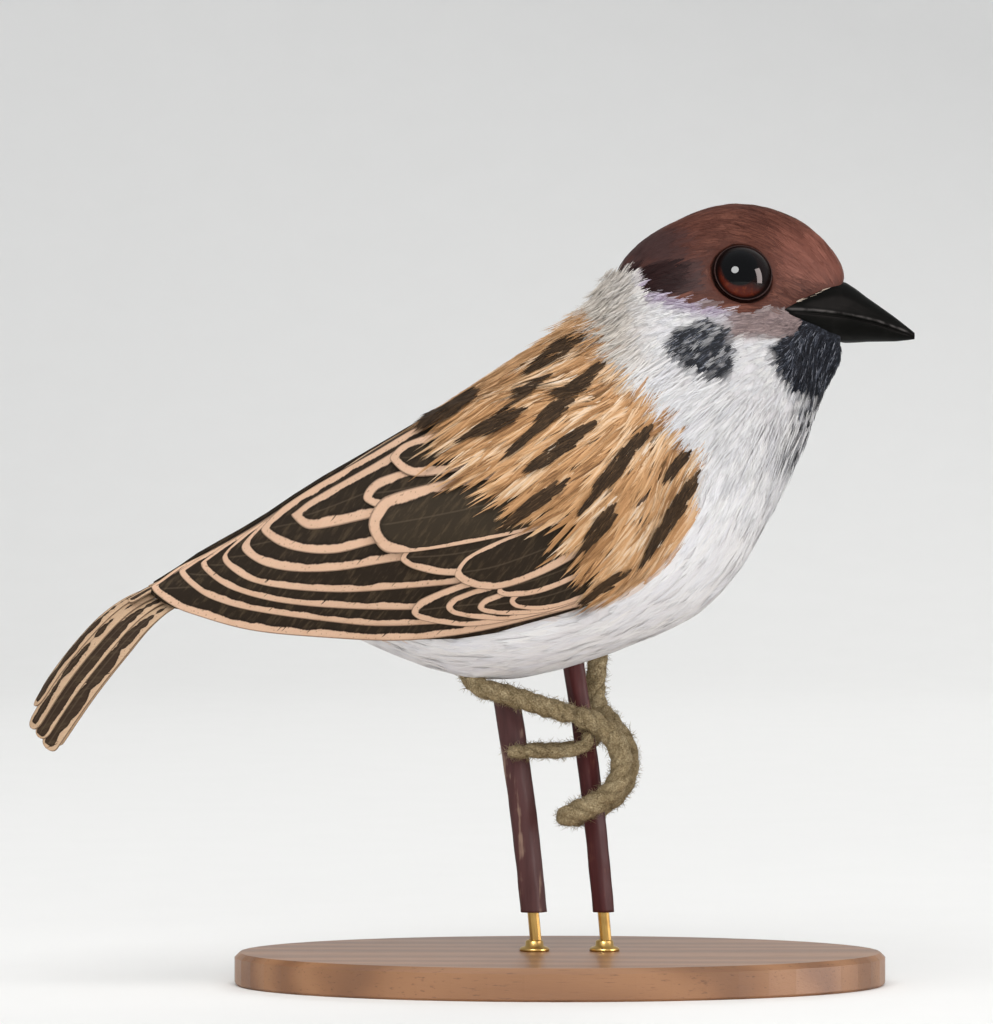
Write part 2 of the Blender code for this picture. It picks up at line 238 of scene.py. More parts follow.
def ringFaces(rows, sides, closed=False, capped=False):
    # faces between rings of points; closed joins the last ring to the first, capped shuts both ends
    faces = []
    for i in range(rows if closed else rows - 1):
        for k in range(sides):
            n, m = (k + 1) % sides, (i + 1) % rows
            faces.append((i * sides + k, i * sides + n, m * sides + n, m * sides + k))
    if capped:
        faces += [tuple(range(sides)), tuple(range((rows - 1) * sides, rows * sides))]
    return faces


def outward(mesh, merged=0.0):
    # all faces turned outwards, after points closer than merged are joined
    build = bmesh.new()
    build.from_mesh(mesh)
    if merged:
        bmesh.ops.remove_doubles(build, verts=build.verts, dist=merged)
    bmesh.ops.recalc_face_normals(build, faces=build.faces)
    build.to_mesh(mesh)
    build.free()
    return mesh


def mergedCopy(name, nodes):
    # one clean mesh of the chosen solids, whose loose triangles are joined first
    build = bmesh.new()
    for node in nodes:
        build.from_mesh(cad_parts[node].data)
    bmesh.ops.remove_doubles(build, verts=build.verts, dist=0.01 * mm)
    mesh = bpy.data.meshes.new(name)
    build.to_mesh(mesh)
    build.free()
    mesh.materials.clear()
    return mesh


def settle(piece):
    # what the modifiers make, as a plain mesh
    bpy.context.view_layer.update()
    graph = bpy.context.evaluated_depsgraph_get()
    mesh = bpy.data.meshes.new_from_object(piece.evaluated_get(graph), preserve_all_data_layers=True,
                                           depsgraph=graph)
    bpy.data.objects.remove(piece)
    return mesh


def treeOf(mesh):
    build = bmesh.new()
    build.from_mesh(mesh)
    tree = BVHTree.FromBMesh(build)
    build.free()
    return tree


def readAll(items, field, width=1, kind=np.float32):
    # one number, or one row of numbers, for each item
    found = np.empty(len(items) * width, kind)
    items.foreach_get(field, found)
    return found.reshape(-1, width) if width > 1 else found


def coordsOf(mesh):
    return readAll(mesh.vertices, "co", 3).astype(float)


def normalsOf(mesh):
    return readAll(mesh.vertex_normals, "vector", 3).astype(float)


def moveTo(mesh, points):
    mesh.vertices.foreach_set("co", points.astype(np.float32).ravel())
    mesh.update()


def storeVector(mesh, name, values):
    layer = mesh.attributes.new(name, "FLOAT_VECTOR", "POINT")
    layer.data.foreach_set("vector", np.asarray(values, np.float32).ravel())


def storeNumber(mesh, name, values):
    layer = mesh.attributes.new(name, "FLOAT", "POINT")
    layer.data.foreach_set("value", np.asarray(values, np.float32).ravel())


def storeMap(mesh, uv):
    layer = mesh.uv_layers.new(name="OFBake")
    layer.data.foreach_set("uv", uv.astype(np.float32).ravel())


def softStep(value, low, high):
    t = np.clip((value - low) / (high - low), 0, 1)
    return t * t * (3 - 2 * t)


def bell(value, middle, width):
    return np.exp(-((value - middle) / width) ** 2)


def unit(vectors, least=0.0):
    return vectors / np.maximum(np.linalg.norm(vectors, axis=-1, keepdims=True), least)


def laidOn(way, normals):
    # directions laid into the surface
    return way - normals * (way * normals).sum(1, keepdims=True)


def fromSide(points):
    # x and z in millimetres
    return points[:, 0] / mm, points[:, 2] / mm


def wander(points, size, seed):
    # smooth noise from -1 to 1 at each point; size is in millimetres
    shift = Vector((seed * 7.3, seed * 3.1, seed * 5.7))
    return np.array([noise.noise(Vector(p) / (size * mm) + shift) for p in points])


def curveThrough(points, count):
    # a smooth line through a few points, as many as asked
    points = np.asarray(points, float)
    places = np.linspace(0, len(points) - 1, count)
    found = []
    for t in places:
        i = min(int(t), len(points) - 2)
        u = t - i
        a = points[max(i - 1, 0)]
        b, c = points[i], points[i + 1]
        d = points[min(i + 2, len(points) - 1)]
        found.append(0.5 * (2 * b + (c - a) * u + (2 * a - 5 * b + 4 * c - d) * u * u
                            + (3 * b - a - 3 * c + d) * u ** 3))
    return np.array(found)


def newTree(name, inputs):
    # a geometry tree with named inputs: (name, socket kind, value)
    tree = bpy.data.node_groups.new(name, "GeometryNodeTree")
    tree.interface.new_socket("Geometry", in_out="INPUT", socket_type="NodeSocketGeometry")
    for label, kind, value in inputs:
        socket = tree.interface.new_socket(label, in_out="INPUT", socket_type=kind)
        if value is not None:
            socket.default_value = value
    tree.interface.new_socket("Geometry", in_out="OUTPUT", socket_type="NodeSocketGeometry")
    graph = Graph(tree)
    source = tree.nodes.new("NodeGroupInput")
    fed = {socket.name: Wire(graph, socket) for socket in source.outputs if socket.name}
    return tree, graph, fed


def growTree(name, tree, base, values):
    # runs a geometry tree once on a mesh or a curve and keeps the result as a plain mesh
    carrier = newObject(name, base)
    modifier = carrier.modifiers.new("growth", "NODES")
    modifier.node_group = tree
    for item in tree.interface.items_tree:
        if item.in_out == "INPUT" and item.name in values:
            modifier[item.identifier] = values[item.name]
    return settle(carrier)


# where each colour of the plumage lies, seen from the side, in millimetres (x, z)
plumage = {
    "capEdge": [(7, 112), (8.2, 109.9), (12.1, 109.2), (12.7, 106.4), (16, 105.4), (20.4, 104.4),
                (27.3, 102.9), (33.6, 103.4), (46, 104.6)],
    "tanEdge": [(6.7, 59.1), (12.9, 61.8), (19.2, 69.0), (21.2, 79.9), (18.9, 83.8), (14.0, 89.4),
                (8.0, 95.6), (2.9, 103.4)],
    "wingEdge": [(-60, 59), (-52, 56.6), (-35, 54), (-24, 53.6), (-12, 55), (6.7, 58.6)],
    "cheekSpot": (21.6, 97.6, 5.4, 4.3),      # its middle and its half sizes
    "cheekTilt": (0.87, 0.5, 0.05),           # cosine and sine of its tilt, and how much it bends
    "bibBack": [(38.6, 88), (34.2, 91), (31.4, 95), (31.2, 99), (34, 101)],
    "bibTop": [(31, 97.6), (33, 98.8), (35.7, 100.4), (37.2, 104), (46, 106)],
    "fadeBack": [(31.2, 78), (34.2, 89)],     # the grey under the bib
    "ragged": 0.55,
}

# the way the feathers point: x, z, then the direction in x and z
lieOfCoat = [
    (44, 108, -0.45, 0.90), (40, 114, -0.75, 0.65), (30, 119, -1.0, 0.25), (20, 119, -1.0, -0.1),
    (12, 114, -0.85, -0.5), (16, 109, -1.0, -0.12), (36, 106, -1.0, 0.12), (20, 104.5, -1.0, -0.08),
    (22, 98, -0.8, -0.6), (31, 101, -1.0, -0.15), (40, 96, -0.5, -0.86), (6, 103, -0.8, -0.6),
    (12, 93, -0.62, -0.78), (36, 84, -0.36, -0.93), (28, 74, -0.42, -0.9), (21, 77, -0.5, -0.86),
    (20, 63, -0.8, -0.6), (0, 54, -1.0, -0.12), (-20, 50, -1.0, 0.05), (-42, 54, -0.95, 0.3),
    (-2, 95, -0.82, -0.57), (2, 83, -0.74, -0.67), (9, 69, -0.6, -0.8), (17, 74, -0.55, -0.83),
    (-6, 72, -0.88, -0.47), (-25, 85, -0.88, -0.47), (-45, 70, -0.9, -0.44),
]


def along(line, x):
    xs, zs = zip(*line)
    return np.interp(x, xs, zs)


def alongUp(line, z):
    xs, zs = zip(*line)
    return np.interp(z, zs, xs)


def plumageMarks(points):
    # how much of each colour a spot of the plumage has
    x, z = fromSide(points)
    ragged = plumage["ragged"]
    x = x + ragged * wander(points, 1.6, 1) + 0.5 * ragged * wander(points, 0.6, 2)
    z = z + ragged * wander(points, 1.8, 3) + 0.5 * ragged * wander(points, 0.6, 4)
    edge = along(plumage["capEdge"], x)
    cap = softStep(z, edge - 0.25, edge + 0.25)
    streak = softStep(23.4 - x, 0, 7) * softStep(3.2 - abs(z - 108.3 - 0.08 * (x - 17)), 0, 1.4)
    crownBack = softStep(23.5 - x, 0, 8) * softStep(z, 109.5, 111.5) * softStep(117.5 - z, 0, 3)
    lores = softStep(x, 30, 36) * softStep(118 - z, 0, 4) * softStep(z, 106, 110)
    under = edge - z
    lavender = softStep(under, -0.3, 0.3) * softStep(2.5 - under, 0, 1.6) * softStep(27 - x, 0, 4)
    lavender *= softStep(x, 11, 12.5)
    pink = softStep(x, 23.5, 26.5) * softStep(38.5 - x, 0, 1) * softStep(z, 98.2, 99.6)
    spotX, spotZ, wide, high = plumage["cheekSpot"]
    tiltC, tiltS, bend = plumage["cheekTilt"]
    tiltX = (x - spotX) * tiltC - (z - spotZ) * tiltS
    tiltZ = (z - spotZ) * tiltC + (x - spotX) * tiltS
    reach = np.hypot(tiltX / wide, (tiltZ + bend * tiltX ** 2) / high)
    cheek = softStep(1.06 - reach, -0.08, 0.2)
    cheek *= 0.98 - 0.4 * softStep(wander(points * (1, 1, 1.4), 0.9, 6), 0.1, 0.5)
    bib = softStep(x - alongUp(plumage["bibBack"], z), -0.9, 1.3) * softStep(z, 88.0, 90.8)
    bib *= softStep(along(plumage["bibTop"], x) - z, -0.3, 0.5)
    fade = softStep(x - alongUp(plumage["fadeBack"], z), 0, 2.5) * softStep(z, 78, 81)
    fade *= 1 - softStep(z, 90, 92)
    greyed = 0.95 * fade * softStep(wander(points * (1, 1, 0.3), 0.9, 5), -0.3, 0.2)
    slate = np.maximum(np.maximum(cheek, bib), greyed)
    overWing = z - along(plumage["wingEdge"], x)
    tan = softStep(alongUp(plumage["tanEdge"], z) - x, -0.6, 0.8) * softStep(overWing, -0.3, 0.9)
    buff = softStep(14 - x, -2, 8) * softStep(z, 88, 96) * (1 - tan) * (1 - cap)
    umber = softStep(-19 - x, 0, 7) * softStep(overWing, 2, 6)
    return {"headMarks": np.stack([cap, np.maximum(streak, 0.5 * crownBack) * cap, lores * cap], 1),
            "faceMarks": np.stack([lavender, pink * (1 - cap), slate * (1 - cap)], 1),
            "bodyMarks": np.stack([tan, buff, umber], 1)}


def lieAt(points, normals):
    # the direction of the feathers at each point, laid into the surface
    guide = np.array(lieOfCoat, float)
    gaps = points[:, None, [0, 2]] / mm - guide[None, :, :2]
    weight = 1 / ((gaps ** 2).sum(2) + 2.0) ** 1.6
    flat = (weight[..., None] * guide[None, :, 2:]).sum(1)
    way = np.stack([flat[:, 0], np.zeros(len(flat)), flat[:, 1]], 1)
    return unit(laidOn(way, normals), 1e-6)


fleshNodes = ("head", "neck", "trunk")
wingNodes = ("wing_right", "wing_left")
skinBuild = {
    "voxel": 0.6 * mm,
    "closeGaps": 0.28 * mm,      # swells the solids so that their thin cuts close
    "headDepth": 0.35 * mm,      # how far the skin lies inside the plumage
    "bodyDepth": 0.95 * mm,
    "bellyDepth": 0.1 * mm,
    # rounder than the solids at the back of the head and low on the breast: x, z, reach and rise
    "fuller": [(12.5, 113.5, 6.0, 0.75), (23.0, 55.0, 9.0, 0.9), (-8.0, 46.5, 9.0, 0.35)],
    "smoothing": 6,
    "underBill": 43.3 * mm,      # how far forward the skin runs inside the bill
    # the planes that end the filling of the near leg's socket: a place and the way out
    "legRoot": [((-14.3 * mm, -6.3 * mm, 47.9 * mm), (-0.15, -0.36, -0.92)),
                ((-12.9 * mm, 0, 0), (1, 0, 0))],
}


def cutPast(mesh, spot, way):
    # keeps what lies behind a plane, closed again
    build = bmesh.new()
    build.from_mesh(mesh)
    bmesh.ops.bisect_plane(build, geom=build.verts[:] + build.edges[:] + build.faces[:], dist=0.001 * mm,
                           plane_co=spot, plane_no=way, clear_outer=True)
    bmesh.ops.holes_fill(build, edges=[edge for edge in build.edges if edge.is_boundary])
    bmesh.ops.recalc_face_normals(build, faces=build.faces)
    build.to_mesh(mesh)
    build.free()
    return mesh


def fusedForm(nodes, voxel, smoothing):
    # several solids grown together, with the bill's root and the near leg's socket filled in
    solids = mergedCopy("fused", nodes)
    billRoot = cutPast(mergedCopy("billRoot", ["bill"]), (skinBuild["underBill"], 0, 0), (1, 0, 0))
    build = bmesh.new()
    build.from_mesh(solids)
    build.from_mesh(billRoot)
    legRoot = mergedCopy("legRoot", ["leg_right"])
    for spot, way in skinBuild["legRoot"]:
        cutPast(legRoot, spot, way)
    build.from_mesh(legRoot)
    build.to_mesh(solids)
    build.free()
    carrier = newObject("fused", solids)
    swell = carrier.modifiers.new("swell", "DISPLACE")
    swell.strength, swell.mid_level = skinBuild["closeGaps"], 0.0
    fuse = carrier.modifiers.new("fuse", "REMESH")
    fuse.mode, fuse.voxel_size = "VOXEL", voxel
    calm = carrier.modifiers.new("calm", "SMOOTH")
    calm.factor, calm.iterations = 0.5, smoothing
    back = carrier.modifiers.new("back", "DISPLACE")
    back.strength, back.mid_level = -skinBuild["closeGaps"], 0.0
    return settle(carrier)


def sinkSkin(mesh):
    # lays the skin inside the plumage's outer shape, less deep on the head
    points, normals = coordsOf(mesh), normalsOf(mesh)
    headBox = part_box("head")
    toHead = softStep(points[:, 0], headBox[0].x, headBox[0].x + 12 * mm)
    toHead *= softStep(points[:, 2], headBox[0].z - 2 * mm, headBox[0].z + 10 * mm)
    x, z = fromSide(points)
    belowWing = along(plumage["wingEdge"], x) - z + 40 * softStep(x, 5, 9)
    toBelly = softStep(70 - z, 0, 12) * softStep(belowWing, 0, 3)
    depth = skinBuild["bodyDepth"] + (skinBuild["headDepth"] - skinBuild["bodyDepth"]) * toHead
    depth += (skinBuild["bellyDepth"] - skinBuild["bodyDepth"]) * toBelly
    for spotX, spotZ, reach, rise in skinBuild["fuller"]:
        depth -= rise * mm * np.exp(-((x - spotX) ** 2 + (z - spotZ) ** 2) / reach ** 2)
    moveTo(mesh, points - normals * depth[:, None])


# the skin's map: where it starts, its size, how far round the seam's own faces run on, and how the
# line through the middle of the body is found
skinMap = {"start": (0.02, 0.03), "size": (0.9, 0.94), "round": 1.06, "steepness": 0.75,
           "stations": 25, "reach": 0.03}


def unwrapSkin(mesh):
    # round the body for u, along it for v: a line through the middle of the body carries both
    points = coordsOf(mesh)
    low, high = points.min(0), points.max(0)
    axis = unit(np.array((high[0] - low[0], 0, (high[2] - low[2]) * skinMap["steepness"])))
    run = points @ axis
    v = (run - run.min()) / (run.max() - run.min())
    stations = np.linspace(0, 1, skinMap["stations"])
    middles = np.array([points[abs(v - s) < skinMap["reach"]].mean(0) for s in stations])
    middle = np.stack([np.interp(v, stations, middles[:, k]) for k in range(3)], 1)
    gap = points - middle
    up = np.cross(axis, (0, 1, 0))
    u = np.arctan2(gap[:, 1], gap @ up) / (2 * math.pi) + 0.5
    loops = readAll(mesh.loops, "vertex_index", 1, np.int32)
    starts = np.array([p.loop_start for p in mesh.polygons])
    sizes = np.array([p.loop_total for p in mesh.polygons])
    cornerU = u[loops]
    most = np.repeat(np.maximum.reduceat(cornerU, starts), sizes)
    cornerU = np.where(most - cornerU > 0.5, cornerU + 1, cornerU)
    start, size = np.array(skinMap["start"]), np.array(skinMap["size"])
    storeMap(mesh, start + size * np.stack([cornerU / skinMap["round"], v[loops]], 1))
    placed = start + size * np.stack([u / skinMap["round"], v], 1)
    storeVector(mesh, "rootUv", np.pad(placed, ((0, 0), (0, 1))))


def plumageFinish(name, isCoat):
    # one recipe of markings for the skin and for the coat over it
    finish, graph = newFinish(name)
    cap, dark, lores = graph.read("headMarks")
    lavender, pink, slate = graph.read("faceMarks")
    tan, buff, umber = graph.read("bodyMarks")
    where = graph.place()
    broad = graph.grain(where, 220, 2.0)
    fine = graph.grain(where, 2400, 2.0)
    if isCoat:
        tone, up, strand = graph.read("tuftTones")
    else:
        tone, up, strand = broad * 0.7, 0.0, fine
    white = graph.blend(tone, shade(220, 220, 225), shade(238, 238, 236))
    white = graph.blend(buff * 0.8, white, graph.blend(strand, shade(176, 162, 144), shade(230, 221, 206)))
    tans = graph.ramp(tone, (0.0, shade(112, 80, 54)), (0.25, shade(170, 126, 84)),
                      (0.5, shade(204, 158, 112)), (0.75, shade(226, 194, 158)), (1.0, shade(236, 222, 204)))
    colour = graph.blend(tan, white, tans)
    umbers = graph.blend(strand * 0.7 + tone * 0.3, shade(38, 28, 19), shade(90, 69, 48))
    colour = graph.blend(umber, colour, umbers)
    colour = graph.blend(pink * 0.92, colour, graph.blend(strand, shade(104, 84, 83), shade(160, 138, 135)))
    lavenders = graph.blend(strand, shade(120, 98, 124), shade(194, 184, 202))
    colour = graph.blend(lavender * 0.92, colour, lavenders)
    slates = graph.ramp(strand * 0.7 + fine * 0.3, (0.0, shade(16, 18, 22)), (0.5, shade(31, 34, 41)),
                        (0.75, shade(68, 73, 84)), (1.0, shade(186, 190, 200)))
    colour = graph.blend(slate, colour, slates)
    chestnut = graph.ramp(tone * 0.7 + strand * 0.3, (0.0, shade(58, 30, 24)), (0.5, shade(88, 51, 41)),
                          (1.0, shade(118, 74, 60)))
    chestnut = graph.blend(lores * 0.7, chestnut, graph.blend(tone, shade(112, 66, 54), shade(150, 96, 82)))
    darks = graph.ramp(dark, (0.0, shade(96, 56, 46)), (0.5, shade(66, 46, 44)), (0.85, shade(32, 15, 15)))
    darks = graph.blend(strand * 0.16, darks, shade(86, 56, 54))
    chestnut = graph.blend(dark.rise(0.0, 0.4), chestnut, darks)
    colour = graph.blend(cap, colour, chestnut)
    # painted shade: the colour is darkened towards each tuft's root, where the strands shade one another,
    # and over the whole skin, which lies in the coat's shade
    depth = graph.blend(1.0, colour, shade(242, 238, 236), "MULTIPLY")
    colour = graph.blend(up, depth, colour)
    return closeFinish(finish, graph, {"Base Color": colour, "Roughness": 0.72 - 0.22 * cap,
                                       "Sheen Weight": 0.02, "Specular IOR Level": 0.07},
                       None if isCoat else fine, 0.35, 0.15 * mm)


skinFinish = plumageFinish("skinFinish", False)
coatFinish = plumageFinish("coatFinish", True)

skinMesh = fusedForm(fleshNodes, skinBuild["voxel"], skinBuild["smoothing"])
sinkSkin(skinMesh)
unwrapSkin(skinMesh)
for label, values in plumageMarks(coordsOf(skinMesh)).items():
    storeVector(skinMesh, label, values)
givePiece(newPiece("skin", skinMesh, skinFinish), fleshNodes)
print("skin:", len(skinMesh.polygons), "faces")

# the shape that the feathers lie on: the body with its wings folded against it
mantleRise = {"overVanes": 1.45 * mm, "overWing": 0.35 * mm, "nearWing": 1.6 * mm, "rounds": 22,
              "voxel": 0.7 * mm, "smoothing": 8}


def squash(x):
    # how flat the vanes are pressed towards the front of the wing; x in millimetres
    return 1 - 0.7 * softStep(x, -3, 7)


def hiddenForm(name, mesh):
    storeVector(mesh, "softNormal", normalsOf(mesh))
    form = newObject(name, mesh)
    form.hide_render = True
    return form


formMesh = fusedForm(fleshNodes + wingNodes, mantleRise["voxel"], mantleRise["smoothing"])
overMesh = formMesh.copy()
sinkSkin(formMesh)
bodyForm = hiddenForm("bodyForm", formMesh)
overPoints, overNormals = coordsOf(overMesh), normalsOf(overMesh)
wingTree = treeOf(mergedCopy("wings", wingNodes))
onWing = np.array([wingTree.find_nearest(Vector(p))[3] < mantleRise["nearWing"] for p in overPoints], float)
links = readAll(overMesh.edges, "vertices", 2, np.int32)
links = np.concatenate([links, links[:, ::-1]])
for _ in range(mantleRise["rounds"]):
    total = np.bincount(links[:, 0], onWing[links[:, 1]], len(onWing))
    onWing = total / np.maximum(np.bincount(links[:, 0], minlength=len(onWing)), 1)
onFlank = softStep(abs(overNormals[:, 1]), 0.35, 0.75)
rise = mantleRise["overWing"] + mantleRise["overVanes"] * squash(overPoints[:, 0] / mm) * onFlank
rise = (rise + skinBuild["bodyDepth"]) * onWing - skinBuild["bodyDepth"]
moveTo(overMesh, overPoints + overNormals * rise[:, None])
mantleForm = hiddenForm("mantleForm", overMesh)
print("forms:", len(formMesh.polygons), "faces each")


# one strand: where it starts and ends along the tuft, how far it drifts, its width, and the place and
# size of its three-sided rings
strandBuild = {"start": (0, 0.22), "end": (0.55, 1.0), "drift": 0.12, "width": (0.75, 1.25),
               "rings": ((0.0, 0.55), (0.3, 1.0), (0.68, 0.8))}


def makeTuft(name, seed, strands, spread, converge, bend):
    # a flat clump of tapering strands: x runs 0 to 1 along the tuft, y is across in metres
    draw = np.random.default_rng(seed)
    points, faces, alongs, rises, tones = [], [], [], [], []
    for _ in range(strands):
        start = draw.uniform(*strandBuild["start"])
        length = draw.uniform(*strandBuild["end"]) - start
        side = draw.uniform(-0.5, 0.5) * spread
        aim = side * (1 - converge) + draw.normal(0, strandBuild["drift"]) * spread
        curl = draw.normal(0, bend)
        width = draw.uniform(*strandBuild["width"]) / 2
        level, lift, tone = draw.uniform(0.0, 1.0), draw.uniform(0.1, 1.0), draw.uniform(0, 1)
        first = len(points)
        for t, share in strandBuild["rings"]:
            y = side + (aim - side) * t + curl * t * t
            for across, high in ((-1, 0.0), (1, 0.0), (0, 1.0)):
                points.append((start + length * t, y, 0))
                alongs.append(start + length * t)
                rises.append((across * width * share, high * share, level + lift * t * t))
                tones.append(tone)
        points.append((start + length, aim + curl, 0))
        alongs.append(start + length)
        rises.append((0, 0.3, level + lift))
        tones.append(tone)
        faces.append((first, first + 2, first + 1))
        for ring in (0, 3):
            for k in range(3):
                a, b = first + ring + k, first + ring + (k + 1) % 3
                faces += [(a, b, b + 3), (a, b + 3, a + 3)]
        for k in range(3):
            faces.append((first + 6 + k, first + 6 + (k + 1) % 3, first + 9))
    mesh = meshFrom(name, points, faces)
    storeNumber(mesh, "tuftAlong", alongs)
    storeNumber(mesh, "strandTone", tones)
    storeVector(mesh, "strandShape", rises)
    return bpy.data.objects.new(name, mesh)


tuftShapes = {
    "silky": {"strands": 7, "spread": 0.9 * mm, "converge": 0.75, "bend": 0.10 * mm},
    "loose": {"strands": 7, "spread": 1.1 * mm, "converge": 0.35, "bend": 0.45 * mm},
    "short": {"strands": 7, "spread": 0.8 * mm, "converge": 0.3, "bend": 0.10 * mm},
}
tuftKinds = {}
for order, (label, shape) in enumerate(tuftShapes.items()):
    kind = bpy.data.collections.new(label + "Tufts")
    for k in range(6):
        kind.objects.link(makeTuft(f"{label}Tuft{k}", 40 + 10 * order + k, **shape))
    tuftKinds[label] = kind


def writeTuftTree():
    # sets a tuft on each root, turns it to the lie of the coat and lays every strand along the form
    tree, graph, fed = newTree("tuftCoat", [
        ("Form", "NodeSocketObject", None), ("Tufts", "NodeSocketCollection", None),
        ("Finish", "NodeSocketMaterial", None), ("Strand Width", "NodeSocketFloat", 0.2 * mm),
        ("Strand Depth", "NodeSocketFloat", 0.1 * mm), ("Loft", "NodeSocketFloat", 0.5 * mm),
        ("Ground", "NodeSocketFloat", 0.0), ("Clump Width", "NodeSocketFloat", 1.0),
        ("Seed", "NodeSocketInt", 1)])

    def named(label, data="FLOAT_VECTOR"):
        return graph.node("GeometryNodeInputNamedAttribute", {"data_type": data}, {"Name": label})

    shapes = graph.node("GeometryNodeCollectionInfo", None,
                        {"Collection": fed["Tufts"], "Separate Children": True, "Reset Children": True})
    pick = graph.node("FunctionNodeRandomValue", {"data_type": "INT"},
                      {"Min": 0, "Max": 5, "Seed": fed["Seed"]}, 2)
    turn = graph.node("FunctionNodeAxesToRotation", {"primary_axis": "Z", "secondary_axis": "X"},
                      {0: named("rootNormal"), 1: named("lie")})
    size = graph.join(named("tuftLength", "FLOAT"), fed["Clump Width"], 1.0)
    placed = graph.node("GeometryNodeInstanceOnPoints", None,
                        {"Points": fed["Geometry"], "Instance": shapes, "Pick Instance": True,
                         "Instance Index": pick, "Rotation": turn, "Scale": size})
    real = graph.node("GeometryNodeRealizeInstances", None, {0: placed})
    form = graph.node("GeometryNodeObjectInfo", None, {"Object": fed["Form"]}, "Geometry")
    here = graph.node("GeometryNodeInputPosition")
    nearest = graph.node("GeometryNodeProximity", {"target_element": "FACES"},
                         {0: form, "Sample Position": here}, "Position")
    upward = graph.node("GeometryNodeSampleNearestSurface", {"data_type": "FLOAT_VECTOR"},
                        {"Mesh": form, "Value": named("softNormal"), "Sample Position": here})
    upward = graph.vector("NORMALIZE", upward)
    across = graph.vector("NORMALIZE", graph.vector("CROSS_PRODUCT", upward, named("lie")))
    sideways, high, level = graph.parts(named("strandShape"))
    rise = (level * fed["Loft"] * named("tuftLoft", "FLOAT")
            + high * fed["Strand Depth"] + fed["Ground"])
    spot = graph.vector("ADD", nearest, graph.vector("SCALE", upward, rise))
    spot = graph.vector("ADD", spot, graph.vector("SCALE", across, sideways * fed["Strand Width"]))
    kept = graph.node("GeometryNodeStoreNamedAttribute", {"data_type": "FLOAT_VECTOR", "domain": "POINT"},
                      {"Geometry": real, "Name": "coatUp", "Value": upward})
    laid = graph.node("GeometryNodeSetPosition", None, {"Geometry": kept, "Position": spot})
    done = graph.node("GeometryNodeSetMaterial", None, {"Geometry": laid, "Material": fed["Finish"]})
    graph.node("NodeGroupOutput", None, {0: done})
    return tree


tuftTree = writeTuftTree()


class Ground:
    # a mesh that feathers are rooted on, ready for drawing points from it
    def __init__(self, mesh):
        mesh.calc_loop_triangles()
        self.corners = readAll(mesh.loop_triangles, "vertices", 3, np.int32)
        self.points, self.normals = coordsOf(mesh), normalsOf(mesh)
        a, b, c = (self.points[self.corners[:, k]] for k in range(3))
        area = np.linalg.norm(np.cross(b - a, c - a), axis=1) / 2
        self.share = np.cumsum(area) / area.sum()
        self.area = area.sum()

    def draw(self, perSquareMm, seed):
        dice = np.random.default_rng(seed)
        count = int(perSquareMm * self.area / mm ** 2)
        face = self.corners[np.searchsorted(self.share, dice.uniform(0, 1, count))]
        u, v = dice.uniform(0, 1, count), dice.uniform(0, 1, count)
        u, v = np.where(u + v > 1, 1 - u, u), np.where(u + v > 1, 1 - v, v)
        mix = np.stack([1 - u - v, u, v], 1)[..., None]
        return (self.points[face] * mix).sum(1), unit((self.normals[face] * mix).sum(1)), dice


bodyGround, mantleGround = Ground(formMesh), Ground(overMesh)
skinTree = treeOf(skinMesh)
skinRoots = readAll(skinMesh.attributes["rootUv"].data, "vector", 3)
eyeNodes = ("eye_right", "eye_left")
eyeSpots = [sum(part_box(node), Vector()) / 2 for node in eyeNodes]
eyeClear = {"reach": 4.75 * mm, "short": 0.12, "least": 0.5 * mm}


def rootUvOf(points):
    # each root's place on the skin's own unwrap
    found = np.empty((len(points), 3))
    for k, point in enumerate(points):
        face = skinTree.find_nearest(Vector(point))[2]
        found[k] = skinRoots[skinMesh.polygons[face].vertices[0]]
    return found


def clearOfEyes(points, lie, lengths):
    # shortens what would lie across an eye, and says which roots are too close to stay
    stay = np.ones(len(points), bool)
    for spot in eyeSpots:
        side = points[:, 1] * spot.y > 0
        for share in np.linspace(0, 1, 9):
            tip = points + lie * (lengths * share)[:, None]
            inside = side & (np.hypot(tip[:, 0] - spot.x, tip[:, 2] - spot.z) < eyeClear["reach"])
            if share == 0:
                stay &= ~inside
            else:
                crosses = inside & (lengths * share < lengths)
                lengths = np.where(crosses, lengths * (share - eyeClear["short"]), lengths)
    return stay & (lengths > eyeClear["least"]), lengths


ownMarks = {"coatStreak": (1, 0, 1), "coatHeadBristle": (0.3, 1, 0)}    # what these carry all over
tuftTone = {"alongFlow": 0.22, "across": 0.7, "gain": 1.1, "middle": 0.47, "front": 0.12, "streaky": 0.7}


